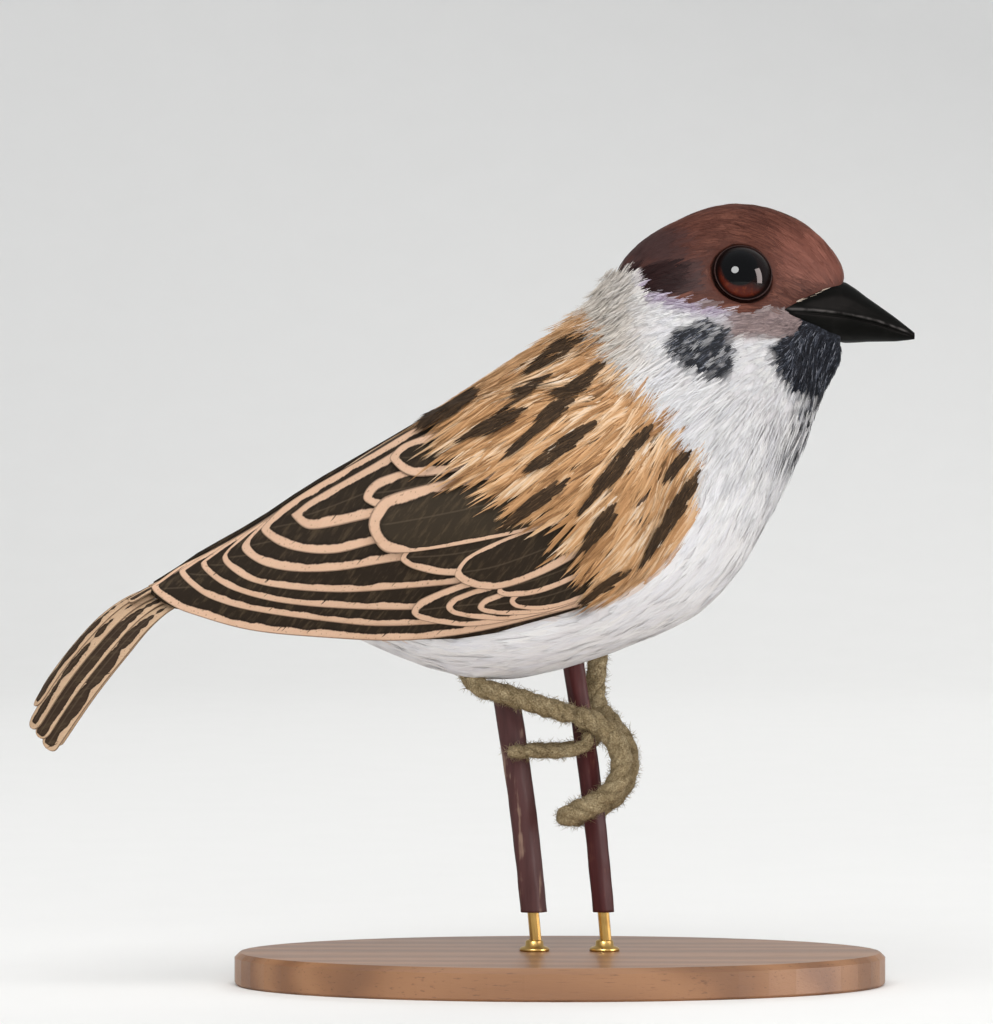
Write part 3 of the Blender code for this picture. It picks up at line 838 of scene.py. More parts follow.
def growCoat(name, form, points, normals, lie, lengths, lofts, kind, colourAt, flow, **values):
    # a piece of coat from chosen roots; the markings are read a little along each tuft
    mesh = bpy.data.meshes.new(name + "Roots")
    mesh.from_pydata([tuple(p) for p in points], [], [])
    storeVector(mesh, "rootNormal", normals)
    storeVector(mesh, "lie", lie)
    storeNumber(mesh, "tuftLength", lengths)
    storeNumber(mesh, "tuftLoft", lofts)
    storeVector(mesh, "rootUv", rootUvOf(points))
    seen = points + lie * (lengths * colourAt)[:, None]
    marks = plumageMarks(seen)
    for label, mark in ownMarks.items():
        if name.startswith(label):
            marks = {"headMarks": np.zeros((len(points), 3)), "faceMarks": np.zeros((len(points), 3)),
                     "bodyMarks": np.tile(mark, (len(points), 1))}
    for label, mark in marks.items():
        storeVector(mesh, label, mark)
    dice = np.random.default_rng(len(points))
    runX, runZ, narrow = flow
    drawn = np.stack([tuftTone["alongFlow"] * (seen[:, 0] * runX + seen[:, 2] * runZ),
                      tuftTone["across"] * seen[:, 1], seen[:, 0] * runZ - seen[:, 2] * runX], 1)
    streaks = wander(drawn, narrow, 9) * tuftTone["gain"] + tuftTone["middle"]
    streaks += tuftTone["front"] * softStep(seen[:, 0] / mm, 0, 16)
    mix = tuftTone["streaky"]
    tone = np.clip(mix * streaks + (1 - mix) * dice.uniform(0, 1, len(points)), 0, 1)
    storeNumber(mesh, "rootTone", tone)
    grown = growTree(name, tuftTree, mesh, {"Form": form, "Tufts": tuftKinds[kind],
                                            "Finish": coatFinish, "Seed": len(points) % 97, **values})
    return finishCoat(name, grown)


coatBuild = {
    "softness": 0.8,      # how far the coat's shading follows the body under it
    "patch": 0.003,       # the size of each tuft's own place on the map
    "sway": 0.10,         # how far tufts turn from the lie of the coat
    "lofts": (0.3, 1.0),
}


def finishCoat(name, mesh):
    # the small patch of each tuft at its root, then only what the finish reads is kept
    rootUv, coatUp = (readAll(mesh.attributes[label].data, "vector", 3) for label in ("rootUv", "coatUp"))
    run, strand, tone = (readAll(mesh.attributes[label].data, "value")
                         for label in ("tuftAlong", "strandTone", "rootTone"))
    uv = rootUv[:, :2] + coatBuild["patch"] * np.stack([run - 0.5, strand - 0.5], 1)
    storeMap(mesh, uv[readAll(mesh.loops, "vertex_index", 1, np.int32)])
    # the second part, the run along the tuft, sets how much painted shade each spot gets near its root
    storeVector(mesh, "tuftTones", np.stack([tone * 0.75 + strand * 0.25, run, strand], 1))
    facing = normalsOf(mesh) * (1 - coatBuild["softness"]) + coatUp * coatBuild["softness"]
    for old in ("rootUv", "tuftAlong", "strandTone", "rootTone", "strandShape", "rootNormal", "lie",
                "tuftLength", "tuftLoft", "coatUp"):
        if old in mesh.attributes:
            mesh.attributes.remove(mesh.attributes[old])
    piece = newPiece(name, mesh, coatFinish)
    mesh.normals_split_custom_set_from_vertices(unit(facing, 1e-6).tolist())
    givePiece(piece)
    print(name, len(mesh.polygons), "triangles")
    return piece


coatRegions = {
    # tufts to the square millimetre, length, loft and strand sizes of each region, in millimetres
    "coatHeadCap": {"density": 1.6, "length": (3.0, 5.2), "loft": 0.09, "kind": "short",
                    "width": 0.21, "depth": 0.045, "ground": 0.0, "clump": 0.9, "seed": 11,
                    "flow": (1.0, 0.12, 1.0)},
    "coatHeadFace": {"density": 2.1, "length": (1.8, 3.2), "loft": 0.28, "kind": "short",
                     "width": 0.15, "depth": 0.06, "ground": 0.0, "clump": 0.8, "seed": 12,
                     "flow": (0.9, 0.4, 0.8)},
    "coatNeck": {"density": 1.5, "length": (4.0, 7.5), "loft": 0.62, "kind": "loose",
                 "width": 0.17, "depth": 0.08, "ground": 0.05, "clump": 1.0, "seed": 13,
                 "flow": (0.6, 0.8, 1.0), "settles": (82, 102), "settledLoft": (0.2, 1.0)},
    "coatNape": {"density": 0.9, "length": (3.5, 6.5), "loft": 1.5, "kind": "loose",
                 "width": 0.15, "depth": 0.07, "ground": 0.1, "clump": 1.1, "seed": 16,
                 "flow": (0.8, 0.6, 1.0)},
    "coatBelly": {"density": 0.7, "length": (5.5, 9.5), "loft": 0.09, "kind": "silky",
                  "width": 0.39, "depth": 0.03, "ground": 0.06, "clump": 1.2, "seed": 14,
                  "flow": (0.95, 0.3, 1.3), "settles": (80, 92), "settledLoft": (1.0, 2.2),
                  "crease": (5.6 * mm, -15.1 * mm, 57.3 * mm), "aside": 1.4 * mm,
                  "least": 2 * mm},
    "coatMantle": {"density": 1.0, "length": (6.0, 11.0), "loft": 0.4, "kind": "silky",
                   "width": 0.31, "depth": 0.06, "ground": 0.0, "clump": 1.0, "seed": 15,
                   "flow": (0.8, 0.6, 1.1)},
}


billTree = treeOf(mergedCopy("bill", ["bill"]))


def offBill(points):
    # 0 for roots that the bill covers
    inside = np.zeros(len(points))
    for k in np.flatnonzero(points[:, 0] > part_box("bill")[0].x - mm):
        spot, normal = billTree.find_nearest(Vector(points[k]))[:2]
        inside[k] = (Vector(points[k]) - spot).dot(normal) < 0.05 * mm
    return 1 - inside


# the mantle's lower edge over the wing, x and z in millimetres
mantleEnd = [(-20, 88), (-11, 81), (-2, 75.5), (2, 72), (5, 68), (7.5, 62), (9, 56)]


def regionShare(label, points):
    # where each region's roots may be, from the same markings as the colours
    x, z = fromSide(points)
    marks = plumageMarks(points)
    bare, tan = offBill(points), marks["bodyMarks"][:, 0]
    cap = marks["headMarks"][:, 0] * bare
    face = softStep(z + 0.45 * x, 101.5, 104.5) * softStep(x, 9, 13)
    if label == "coatHeadCap":
        return cap
    if label == "coatHeadFace":
        return (1 - marks["headMarks"][:, 0]) * face * bare
    if label == "coatNeck":
        ahead = softStep(z + 0.3 * x, 82, 94) * softStep(x, -4, 1)
        return (1 - cap) * (1 - face) * (1 - 0.7 * tan) * ahead
    if label == "coatNape":
        return (1 - cap) * softStep(13 - x, 0, 4) * softStep(x, -2, 2) * softStep(z + 0.5 * x, 102, 105)
    if label == "coatBelly":
        below = along(plumage["wingEdge"], x) + 0.3 - z + 30 * softStep(x, 5, 8)
        inside = np.maximum(softStep(x, -33, -29), softStep(5 - abs(points[:, 1]) / mm, 0, 1))
        return (1 - tan) * (1 - softStep(z + 0.3 * x, 84, 96)) * softStep(below, -0.5, 0.5) * inside
    back = softStep(x, -18, -11) + softStep(x, -46, -40) * softStep(4.5 - abs(points[:, 1]) / mm, 0, 1)
    return tan * np.clip(back, 0, 1) * softStep(z - along(mantleEnd, x), -1.5, 2.0)


def staysFlat(form, points, normals, lie, lengths):
    # false where the surface turns away too sharply under a tuft
    tree = treeOf(form.data)
    flat = np.ones(len(points), bool)
    for k, tip in enumerate(points + lie * lengths[:, None]):
        facing = tree.find_nearest(Vector(tip))[1]
        flat[k] = facing.dot(Vector(normals[k])) > 0.8
    return flat


def shortOfCrease(plan, points, lie, lengths):
    # the lengths of tufts that would end where wing and belly meet, cut back on both sides
    mirror = np.where(points[:, 1:2] > 0, (1, -1, 1), (1, 1, 1))
    gap = plan["crease"] - points * mirror
    ahead = (gap * lie * mirror).sum(1)
    meets = np.linalg.norm(gap - lie * mirror * ahead[:, None], axis=1) < plan["aside"]
    meets &= (ahead > -plan["aside"]) & (ahead < lengths + plan["aside"])
    return np.where(meets, np.clip(ahead - plan["aside"], 0, None), lengths)


def growBothSides(name, form, plan, points, normals, lie, lengths, lofts, stay=True):
    for side, sign in (("Right", rightSide), ("Left", leftSide)):
        own = stay & (points[:, 1] * sign >= 0)
        growCoat(name + side, form, points[own], normals[own], lie[own], lengths[own], lofts[own],
                 plan["kind"], plan.get("colourAt", 0.45), plan["flow"],
                 **{"Strand Width": plan["width"] * mm, "Strand Depth": plan["depth"] * mm,
                    "Loft": plan["loft"] * mm, "Ground": plan["ground"] * mm,
                    "Clump Width": plan["clump"]})


for label, plan in coatRegions.items():
    onMantle = label == "coatMantle"
    source = mantleGround if onMantle else bodyGround
    points, normals, dice = source.draw(plan["density"], plan["seed"])
    keep = dice.uniform(0, 1, len(points)) < regionShare(label, points)
    points, normals = points[keep], normals[keep]
    lie = lieAt(points, normals)
    lie = unit(lie + np.cross(normals, lie) * dice.normal(0, coatBuild["sway"], len(points))[:, None])
    lengths = dice.uniform(*plan["length"], len(points)) * mm
    stay, lengths = clearOfEyes(points, lie, lengths)
    if label == "coatBelly":
        lengths = shortOfCrease(plan, points, lie, lengths)
        stay &= lengths > plan["least"]
        stay &= staysFlat(bodyForm, points, normals, lie, lengths)
    height = (points[:, 2] + 0.3 * points[:, 0]) / mm
    settled = np.interp(height, plan.get("settles", (0, 1)), plan.get("settledLoft", (1, 1)))
    lofts = dice.uniform(*coatBuild["lofts"], len(points)) * settled
    form = mantleForm if onMantle else bodyForm
    growBothSides(label, form, plan, points, normals, lie, lengths, lofts, stay)


# the dark centres that show through the tan mantle: start and end in x and z, and half width
mantleStreaks = {
    "lines": [(5.4, 100.9, -4.6, 93.6, 1.15), (7.3, 95.7, -8.8, 80.2, 1.0),
              (5.9, 86.6, -5.4, 78.6, 1.05), (13.9, 86.4, 3.0, 73.3, 1.05),
              (8.5, 74.8, 3.1, 67.6, 1.1), (21.0, 79.6, 11.4, 65.3, 1.1),
              (-11.8, 91.2, -20.6, 85.7, 1.15), (1.6, 78.2, -9.1, 70.7, 0.95),
              (19.5, 82.4, 15.3, 78.2, 0.75), (-4.6, 88.4, -14.2, 84.0, 0.95),
              (10.6, 65.0, 3.2, 59.8, 0.7), (-1.0, 93.4, -7.8, 88.6, 0.4)],
    "density": 4.6, "length": (2.4, 3.8), "loft": 0.12, "kind": "silky", "width": 0.23, "depth": 0.04,
    "ground": 0.62, "clump": 0.36, "seed": 21, "colourAt": 0.3, "flow": (0.7, 0.7, 1.0),
}


def streakShare(points, plan):
    # 1 inside a lens-shaped streak, and the way each streak runs
    x, z = fromSide(points)
    best, way = np.zeros(len(points)), np.zeros((len(points), 3))
    wobble = wander(points, 1.5, 8)
    for startX, startZ, endX, endZ, half in plan["lines"]:
        runX, runZ = endX - startX, endZ - startZ
        size = math.hypot(runX, runZ)
        t = ((x - startX) * runX + (z - startZ) * runZ) / size ** 2
        off = ((x - startX) * runZ - (z - startZ) * runX) / size
        lens = 3.5 * np.clip(t, 0, 1) ** 0.7 * np.clip(1 - t, 0, 1) ** 1.2
        shape = lens * half * (1 + 0.2 * wobble)
        share = softStep(shape - abs(off), -0.12, 0.12) * (t > 0) * (t < 0.92)
        better = share > best
        best = np.where(better, share, best)
        way[better] = (runX / size, 0, runZ / size)
    return best, way


points, normals, dice = mantleGround.draw(mantleStreaks["density"], mantleStreaks["seed"])
share, way = streakShare(points, mantleStreaks)
keep = (dice.uniform(0, 1, len(points)) < share) & (abs(points[:, 1]) > 4 * mm)
points, normals = points[keep], normals[keep]
way = unit(laidOn(way[keep], normals))
lengths = dice.uniform(*mantleStreaks["length"], len(points)) * mm
lofts = dice.uniform(*coatBuild["lofts"], len(points))
growBothSides("coatStreak", mantleForm, mantleStreaks, points, normals, way, lengths, lofts)


bristles = {"from": (35.8, 104.4), "to": (40.2, 106.4), "count": 9, "length": (1.4, 2.2), "loft": 0.12,
            "kind": "short", "width": 0.05, "depth": 0.04, "ground": 0.05, "clump": 0.1, "seed": 31,
            "flow": (1.0, 0.0, 1.0), "way": (0.9, 0.0, 0.42), "sway": 0.06}


def rootBristles():
    # roots along the line where the forehead's feathers meet the bill, on both sides
    dice = np.random.default_rng(bristles["seed"])
    (startX, startZ), (endX, endZ) = bristles["from"], bristles["to"]
    points, normals = [], []
    for side in (rightSide, leftSide):
        for share in dice.uniform(0, 1, bristles["count"]):
            x = startX + (endX - startX) * share - dice.uniform(0, 0.4)
            z = startZ + (endZ - startZ) * share + dice.uniform(0, 0.15)
            hit = skinTree.ray_cast(Vector((x * mm, side * 0.05, z * mm)), Vector((0, -side, 0)))
            if hit[0] is not None:
                points.append(hit[0])
                normals.append(hit[1])
    points, normals = np.array(points), np.array(normals)
    way = np.tile(bristles["way"], (len(points), 1))
    way += dice.normal(0, bristles["sway"], way.shape)
    return points, normals, unit(laidOn(way, normals)), dice


points, normals, way, dice = rootBristles()
lengths = dice.uniform(*bristles["length"], len(points)) * mm
lofts = dice.uniform(*coatBuild["lofts"], len(points))
growBothSides("coatHeadBristle", bodyForm, bristles, points, normals, way, lengths, lofts)


sheetBuild = {"step": 1.0 * mm, "margin": 3 * mm, "fillRounds": 60, "smoothRounds": 3,
              "slopeReach": 0.8 * mm}


class WingSheet:
    # the outer face of one folded wing, as the depth y over x and z
    def __init__(self, node, side):
        low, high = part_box(node)
        tree = treeOf(mergedCopy(node, [node]))
        self.side, self.step = side, sheetBuild["step"]
        self.startX, self.startZ = low.x - sheetBuild["margin"], low.z - sheetBuild["margin"]
        countX = int((high.x - low.x) / self.step) + 8
        countZ = int((high.z - low.z) / self.step) + 8
        depth = np.full((countX, countZ), np.nan)
        for i in range(countX):
            for k in range(countZ):
                start = Vector((self.startX + i * self.step, side * 0.06, self.startZ + k * self.step))
                hit = tree.ray_cast(start, Vector((0, -side, 0)))[0]
                if hit is not None:
                    depth[i, k] = hit.y
        for _ in range(sheetBuild["fillRounds"]):
            gaps = np.isnan(depth)
            wide = np.pad(depth, 1, constant_values=np.nan)
            around = np.stack([wide[1 + a:1 + a + countX, 1 + b:1 + b + countZ]
                               for a in (-1, 0, 1) for b in (-1, 0, 1)])
            count = (~np.isnan(around)).sum(0)
            mean = np.nansum(around, 0) / np.maximum(count, 1)
            depth = np.where(gaps & (count > 0), mean, depth)
        for _ in range(sheetBuild["smoothRounds"]):
            wide = np.pad(depth, 1, mode="edge")
            depth = (wide[1:-1, 1:-1] * 2 + wide[:-2, 1:-1] + wide[2:, 1:-1] + wide[1:-1, :-2]
                     + wide[1:-1, 2:]) / 6
        self.depth = depth

    def at(self, x, z):
        a = np.clip((x - self.startX) / self.step, 0, self.depth.shape[0] - 1.001)
        b = np.clip((z - self.startZ) / self.step, 0, self.depth.shape[1] - 1.001)
        i, k = a.astype(int), b.astype(int)
        u, v = a - i, b - k
        d = self.depth
        return (d[i, k] * (1 - u) * (1 - v) + d[i + 1, k] * u * (1 - v) + d[i, k + 1] * (1 - u) * v
                + d[i + 1, k + 1] * u * v)

    def lay(self, x, z, height):
        # points that far outside the wing's face
        reach = sheetBuild["slopeReach"]
        slopeX = (self.at(x + reach, z) - self.at(x - reach, z)) / (2 * reach)
        slopeZ = (self.at(x, z + reach) - self.at(x, z - reach)) / (2 * reach)
        way = unit(np.stack([-slopeX, np.ones_like(x), -slopeZ], -1) * self.side)
        return np.stack([x, self.at(x, z), z], -1) + way * height[..., None]


def smoothLine(points):
    # a smooth curve over x through a few points, ready to be read at any x
    line = curveThrough(points, 16 * (len(points) - 1) + 1)
    line = line[np.argsort(line[:, 0])]
    return lambda x: np.interp(x, line[:, 0], line[:, 1])


wingTop = [(-62.6, 62.0), (-58.8, 64.2), (-53.2, 67.0), (-46.2, 71.0), (-38.2, 76.3), (-29.0, 81.6),
           (-19.2, 87.2), (-9.4, 90.4), (0, 90.0), (10, 86)]

# every feather of a folded wing, undermost first, in millimetres as seen from the side: its tip, the
# line of its lower edge, its upper edge or how far that lies inside the wing's top, the length of its
# rounded tip and its two band widths
wingFeathers = [
    {"tip": (-62.5, 61.2), "low": [(-62.5, 59.4), (-55.8, 57.0), (-46.8, 54.7), (-35.1, 53.7),
                                   (-24.5, 53.4), (-15.8, 54.3), (-8, 55.9), (3, 58.8)],
     "topInset": 0.2, "round": 5.0, "bands": (1.1, 0.5), "tone": 0.1},
    {"tip": (-58.2, 63.5), "low": [(-58.2, 61.6), (-49.1, 58.2), (-33.9, 56.1), (-24.5, 55.7), (-8, 57)],
     "topInset": 0.3, "round": 5.0, "bands": (0.95, 0.45), "tone": 0.1},
    {"tip": (-54.8, 64.6), "low": [(-54.8, 62.7), (-46.6, 59.9), (-38.0, 58.6), (-24.5, 58.2), (-8, 59)],
     "topInset": 0.45, "round": 5.0, "bands": (0.95, 0.45), "tone": 0.15},
    {"tip": (-51.4, 65.4), "low": [(-51.4, 63.6), (-44.0, 61.5), (-33.9, 60.8), (-24.5, 61.4), (-8, 63)],
     "topInset": 0.6, "round": 4.6, "bands": (1.0, 0.45), "tone": 0.15},
    {"tip": (-48.4, 67.0), "low": [(-48.4, 65.4), (-41.6, 63.9), (-33.9, 64.0), (-24.5, 65.6), (-8, 68)],
     "topInset": 0.8, "round": 4.2, "bands": (1.15, 0.5), "tone": 0.2},
    {"tip": (-45.4, 69.6), "low": [(-45.4, 68.4), (-40.0, 66.8), (-33.9, 66.6), (-26.0, 68.6), (-8, 73)],
     "topInset": 0.5, "round": 3.6, "bands": (1.25, 0.9), "tone": 0.25},
    {"tip": (-40.7, 71.9), "low": [(-40.7, 71.0), (-37.4, 69.9), (-30.0, 71.4), (-18.0, 74.6), (-6, 78)],
     "topInset": 2.4, "round": 2.8, "bands": (1.35, 1.0), "tone": 0.3},
    {"tip": (-22.4, 58.1), "low": [(-22.4, 57.2), (-18, 56.3), (-12, 56.1), (0, 58.3)],
     "high": [(-22.4, 59.4), (-17, 61.8), (-10, 64.0), (2, 66)],
     "round": 1.7, "bands": (0.8, 0.9), "tone": 0.15},
    {"tip": (-17.2, 59.0), "low": [(-17.2, 58.0), (-12, 57.1), (-6, 57.2), (3, 59.6)],
     "high": [(-17.2, 60.0), (-12, 62.0), (-5, 64.0), (4, 66)],
     "round": 1.5, "bands": (0.75, 0.85), "tone": 0.15},
    {"tip": (-12.5, 59.0), "low": [(-12.5, 58.3), (-8, 57.8), (-2, 58.3), (5, 60.6)],
     "high": [(-12.5, 60.0), (-8, 61.6), (-1, 63.4), (5, 66)],
     "round": 1.4, "bands": (0.7, 0.8), "tone": 0.2},
    {"tip": (-7.8, 60.0), "low": [(-7.8, 59.1), (-3, 58.6), (3, 60.0), (8, 62)],
     "high": [(-7.8, 60.9), (-3, 62.6), (3, 65), (8, 68)], "round": 1.3, "bands": (0.7, 0.7), "tone": 0.2},
    {"tip": (-29.4, 74.4), "low": [(-29.4, 73.4), (-24, 73.0), (-16, 74.8), (-4, 79)],
     "high": [(-29.4, 76.4), (-24, 78.4), (-14, 81.5), (-2, 86)],
     "round": 2.6, "bands": (1.0, 1.2), "tone": 0.35},
    {"tip": (-9.6, 61.4), "low": [(-9.6, 60.7), (-5, 60.9), (0, 62.4), (8, 66)],
     "high": [(-9.6, 63.0), (-4, 65.5), (3, 68), (9, 70)], "round": 1.8, "bands": (0.8, 0.6), "tone": 0.2},
    {"tip": (-23.8, 66.0), "low": [(-23.8, 65.2), (-18, 63.9), (-12, 64.4), (0, 68)],
     "high": [(-23.8, 67.4), (-18, 69.4), (-10, 71.5), (2, 74)],
     "round": 2.0, "bands": (1.0, 0.7), "tone": 0.25},
    {"tip": (-15.8, 63.9), "low": [(-15.8, 63.0), (-11.8, 61.9), (-8, 62.2), (-2, 64.5), (6, 68.6)],
     "high": [(-15.8, 65.4), (-11, 68.2), (-4, 71), (6, 74)],
     "round": 2.0, "bands": (1.05, 0.5), "tone": 0.25},
    {"tip": (-25.2, 80.0), "low": [(-25.2, 79.2), (-21.5, 77.6), (-15, 78.6), (-4, 82)],
     "high": [(-25.2, 81.2), (-21, 83.2), (-13, 85.5), (-3, 88)],
     "round": 2.2, "bands": (1.2, 1.0), "tone": 0.4},
    {"tip": (-28.4, 70.6), "low": [(-28.4, 68.0), (-25.0, 66.9), (-17, 67.9), (-6, 70.2), (4, 73)],
     "high": [(-28.4, 73.4), (-24, 75.2), (-16, 77.4), (-6, 80), (2, 82)],
     "round": 2.8, "bands": (0.5, 1.35), "tipBand": 1.75, "tone": 0.95},
]
wingBuild = {"rows": 46, "columns": 13, "layer": 0.085 * mm, "thickness": 0.14 * mm, "camber": 0.06 * mm,
             "leftRise": 0.7, "crowding": 1.8, "lift": 0.06 * mm, "grainShift": 37.37,
             "coreThinner": 0.8 * mm, "coreLower": 0.9 * mm}    # under the mantle, and at the wing's tip


def toOutline(points, line):
    # the distance from each point to a line of points
    a, b = line[:-1], line[1:]
    run = b - a
    size = np.maximum((run ** 2).sum(1), 1e-12)
    t = np.clip(((points[:, None] - a[None]) * run[None]).sum(2) / size[None], 0, 1)
    gap = points[:, None] - (a[None] + t[..., None] * run[None])
    return np.sqrt((gap ** 2).sum(2)).min(1)


def shellOf(outer, inner):
    # points and faces of a thin closed vane between two equal grids
    rows, columns = outer.shape[:2]
    index = np.arange(rows * columns).reshape(rows, columns)
    under = index + rows * columns
    faces = []
    for i in range(rows - 1):
        for k in range(columns - 1):
            faces.append((index[i, k], index[i, k + 1], index[i + 1, k + 1], index[i + 1, k]))
            faces.append((under[i, k], under[i + 1, k], under[i + 1, k + 1], under[i, k + 1]))
    rim = [*index[0], *index[1:, -1], *index[-1, -2::-1], *index[-2:0:-1, 0]]
    for a, b in zip(rim, rim[1:] + rim[:1]):
        faces.append((a, a + rows * columns, b + rows * columns, b))
    return np.concatenate([outer.reshape(-1, 3), inner.reshape(-1, 3)]), faces


class VanePile:
    # many vanes gathered into one mesh, with what their finish reads
    def __init__(self):
        self.points, self.faces, self.edge, self.tone, self.uv, self.count = [], [], [], [], [], 0

    def add(self, outer, inner, edge, tone, uv):
        points, faces = shellOf(outer, inner)
        self.points.append(points)
        self.faces += [tuple(k + self.count for k in face) for face in faces]
        self.count += len(points)
        self.edge.append(np.tile(edge.ravel(), 2))
        self.tone.append(np.full(len(points), tone))
        self.uv.append(np.tile(uv.reshape(-1, 2), (2, 1)))

    def mesh(self, name):
        mesh = meshFrom(name, np.concatenate(self.points), self.faces)
        storeNumber(mesh, "edge", np.concatenate(self.edge))
        storeNumber(mesh, "vaneTone", np.concatenate(self.tone))
        storeVector(mesh, "vanePlace", np.pad(np.concatenate(self.uv), ((0, 0), (0, 1))))
        return outward(mesh, 0.0004 * mm)


def layWingFeather(pile, sheet, plan, level):
    rows, columns = wingBuild["rows"], wingBuild["columns"]
    tipX, tipZ = plan["tip"]
    rootX = plan["low"][-1][0]
    share = np.linspace(0, 1, rows)
    x = tipX + (rootX - tipX) * share ** wingBuild["crowding"]
    low = smoothLine(plan["low"])(x)
    if "high" in plan:
        high = smoothLine(plan["high"])(x)
    else:
        high = smoothLine(wingTop)(x) - plan["topInset"]
        if sheet.side == leftSide:
            high = high + wingBuild["leftRise"] * softStep(x, -60, -40)
    bulge = np.sqrt(1 - np.clip(1 - (x - tipX) / plan["round"], 0, 1) ** 2)
    low, high = tipZ + (low - tipZ) * bulge, tipZ + (high - tipZ) * bulge
    across = np.linspace(0, 1, columns)
    acrossFlat = 0.5 - 0.5 * np.cos(math.pi * across)
    gridX = np.repeat(x[:, None], columns, 1)
    gridZ = low[:, None] + (high - low)[:, None] * acrossFlat
    flat = np.stack([gridX.ravel(), gridZ.ravel()], 1)
    lowLine = np.stack([x, low], 1)[::-1]
    highLine = np.stack([x, high], 1)
    lowBand, highBand = plan["bands"]
    atTip = 1 - softStep(flat[:, 0] - tipX, 2, 7)
    lowBand = lowBand + (plan.get("tipBand", lowBand) - lowBand) * atTip
    highBand = highBand + (plan.get("tipBand", highBand) - highBand) * atTip
    edge = np.minimum(toOutline(flat, lowLine) / lowBand, toOutline(flat, highLine) / highBand)
    camber = wingBuild["camber"] * (1 - (2 * acrossFlat - 1) ** 2)
    height = (level * wingBuild["layer"] + wingBuild["lift"] + camber[None]) * squash(gridX)
    outer = sheet.lay(gridX * mm, gridZ * mm, height)
    inner = sheet.lay(gridX * mm, gridZ * mm, height - wingBuild["thickness"])
    uv = np.stack([gridX + wingBuild["grainShift"] * level, gridZ - (low + high)[:, None] / 2], -1)
    pile.add(outer, inner, edge.reshape(rows, columns), plan["tone"], uv)


def vaneFinish(name, dark, grey, band, bandPale, unevenness):
    # flat feathers: a dark middle, a pale band along the edge, a painted shadow along the very rim, fine
    # slanted barbs and a thin shaft
    finish, graph = newFinish(name)
    u, v, _ = graph.read("vanePlace")
    edge, tone = graph.read("edge")[0], graph.read("vaneTone")[0]
    slant = u - v * 0.9
    barbs = graph.grain(graph.join(slant, v * 0.12, tone * 40), 5.5, 3.0, 0.65)
    slow = graph.grain(graph.join(u, v * 0.4, tone * 30), 0.3, 2.0)
    mottle = graph.grain(graph.join(slant, v * 0.4, 9.0), 0.9, 4.0, 0.7)
    splits = graph.grain(graph.join(u - v * 1.5, v * 0.05, 3.0), 1.6, 1.0)
    ragged = edge * (1.0 + (slow - 0.5) * unevenness) + (barbs - 0.5) * 0.45
    ragged = ragged + splits.rise(0.68, 0.74) * 0.55
    isBand = ragged.rise(1.08, 0.92)
    middle = graph.blend(tone, dark, grey)
    middle = graph.blend(barbs * 0.3, middle, shade(64, 52, 40))
    middle = graph.blend(mottle.rise(0.48, 0.66) * 0.6, middle, shade(80, 66, 49))
    middle = graph.blend(ragged.rise(1.5, 1.0) * 0.5, middle, shade(18, 13, 10))
    pale = graph.blend(barbs, band, bandPale)
    flecks = graph.grain(graph.join(u, v, 7.0), 2.6, 2.0)
    pale = graph.blend(flecks.rise(0.64, 0.7) * 0.6, pale, shade(120, 92, 68))
    pale = graph.blend((slow * 0.5 + barbs * 0.5).rise(0.5, 0.7) * 0.45, pale, shade(176, 136, 104))
    colour = graph.blend(isBand, middle, pale)
    # painted shadow: a dark line along the very rim of each vane, where it overlaps the next
    colour = graph.blend(edge.rise(0.2, 0.04) * 0.6, colour, shade(52, 38, 28))
    shaft = v.calc("ABSOLUTE").rise(0.16, 0.08) * edge.rise(0.9, 1.6)
    colour = graph.blend(shaft * 0.35, colour, shade(92, 78, 62))
    return closeFinish(finish, graph, {"Base Color": colour, "Roughness": 0.66,
                                       "Specular IOR Level": 0.07}, barbs, 0.6, 0.1 * mm)


wingFinish = vaneFinish("wingFinish", shade(34, 26, 19), shade(52, 44, 33), shade(200, 160, 130),
                        shade(220, 186, 160), 0.9)
for node, side in zip(wingNodes, (rightSide, leftSide)):
    sheet = WingSheet(node, side)
    pile = VanePile()
    for level, plan in enumerate(wingFeathers):
        layWingFeather(pile, sheet, plan, level)
    vanes = newPiece(node.replace("wing_", "wingFeathers_"), pile.mesh(node), wingFinish)
    givePiece(vanes)
    core = mergedCopy(node, [node])
    spots = coordsOf(core)
    spots[:, 1] -= side * wingBuild["coreThinner"] * softStep(spots[:, 0] / mm, -4, 3)
    spots[:, 2] -= wingBuild["coreLower"] * softStep(-54 - spots[:, 0] / mm, 0, 6)
    moveTo(core, spots)
    x, z = fromSide(spots)
    storeNumber(core, "edge", 3.0 - 2.4 * softStep(x, -3, 3) * softStep(z, 60, 65))
    storeNumber(core, "vaneTone", np.full(len(core.vertices), 0.1))
    storeVector(core, "vanePlace", np.stack([x, z + 3, 0 * x], 1))
    givePiece(newPiece(node.replace("wing_", "wingCore_"), core, wingFinish), (node,))
print("wings:", pile.count, "points each")


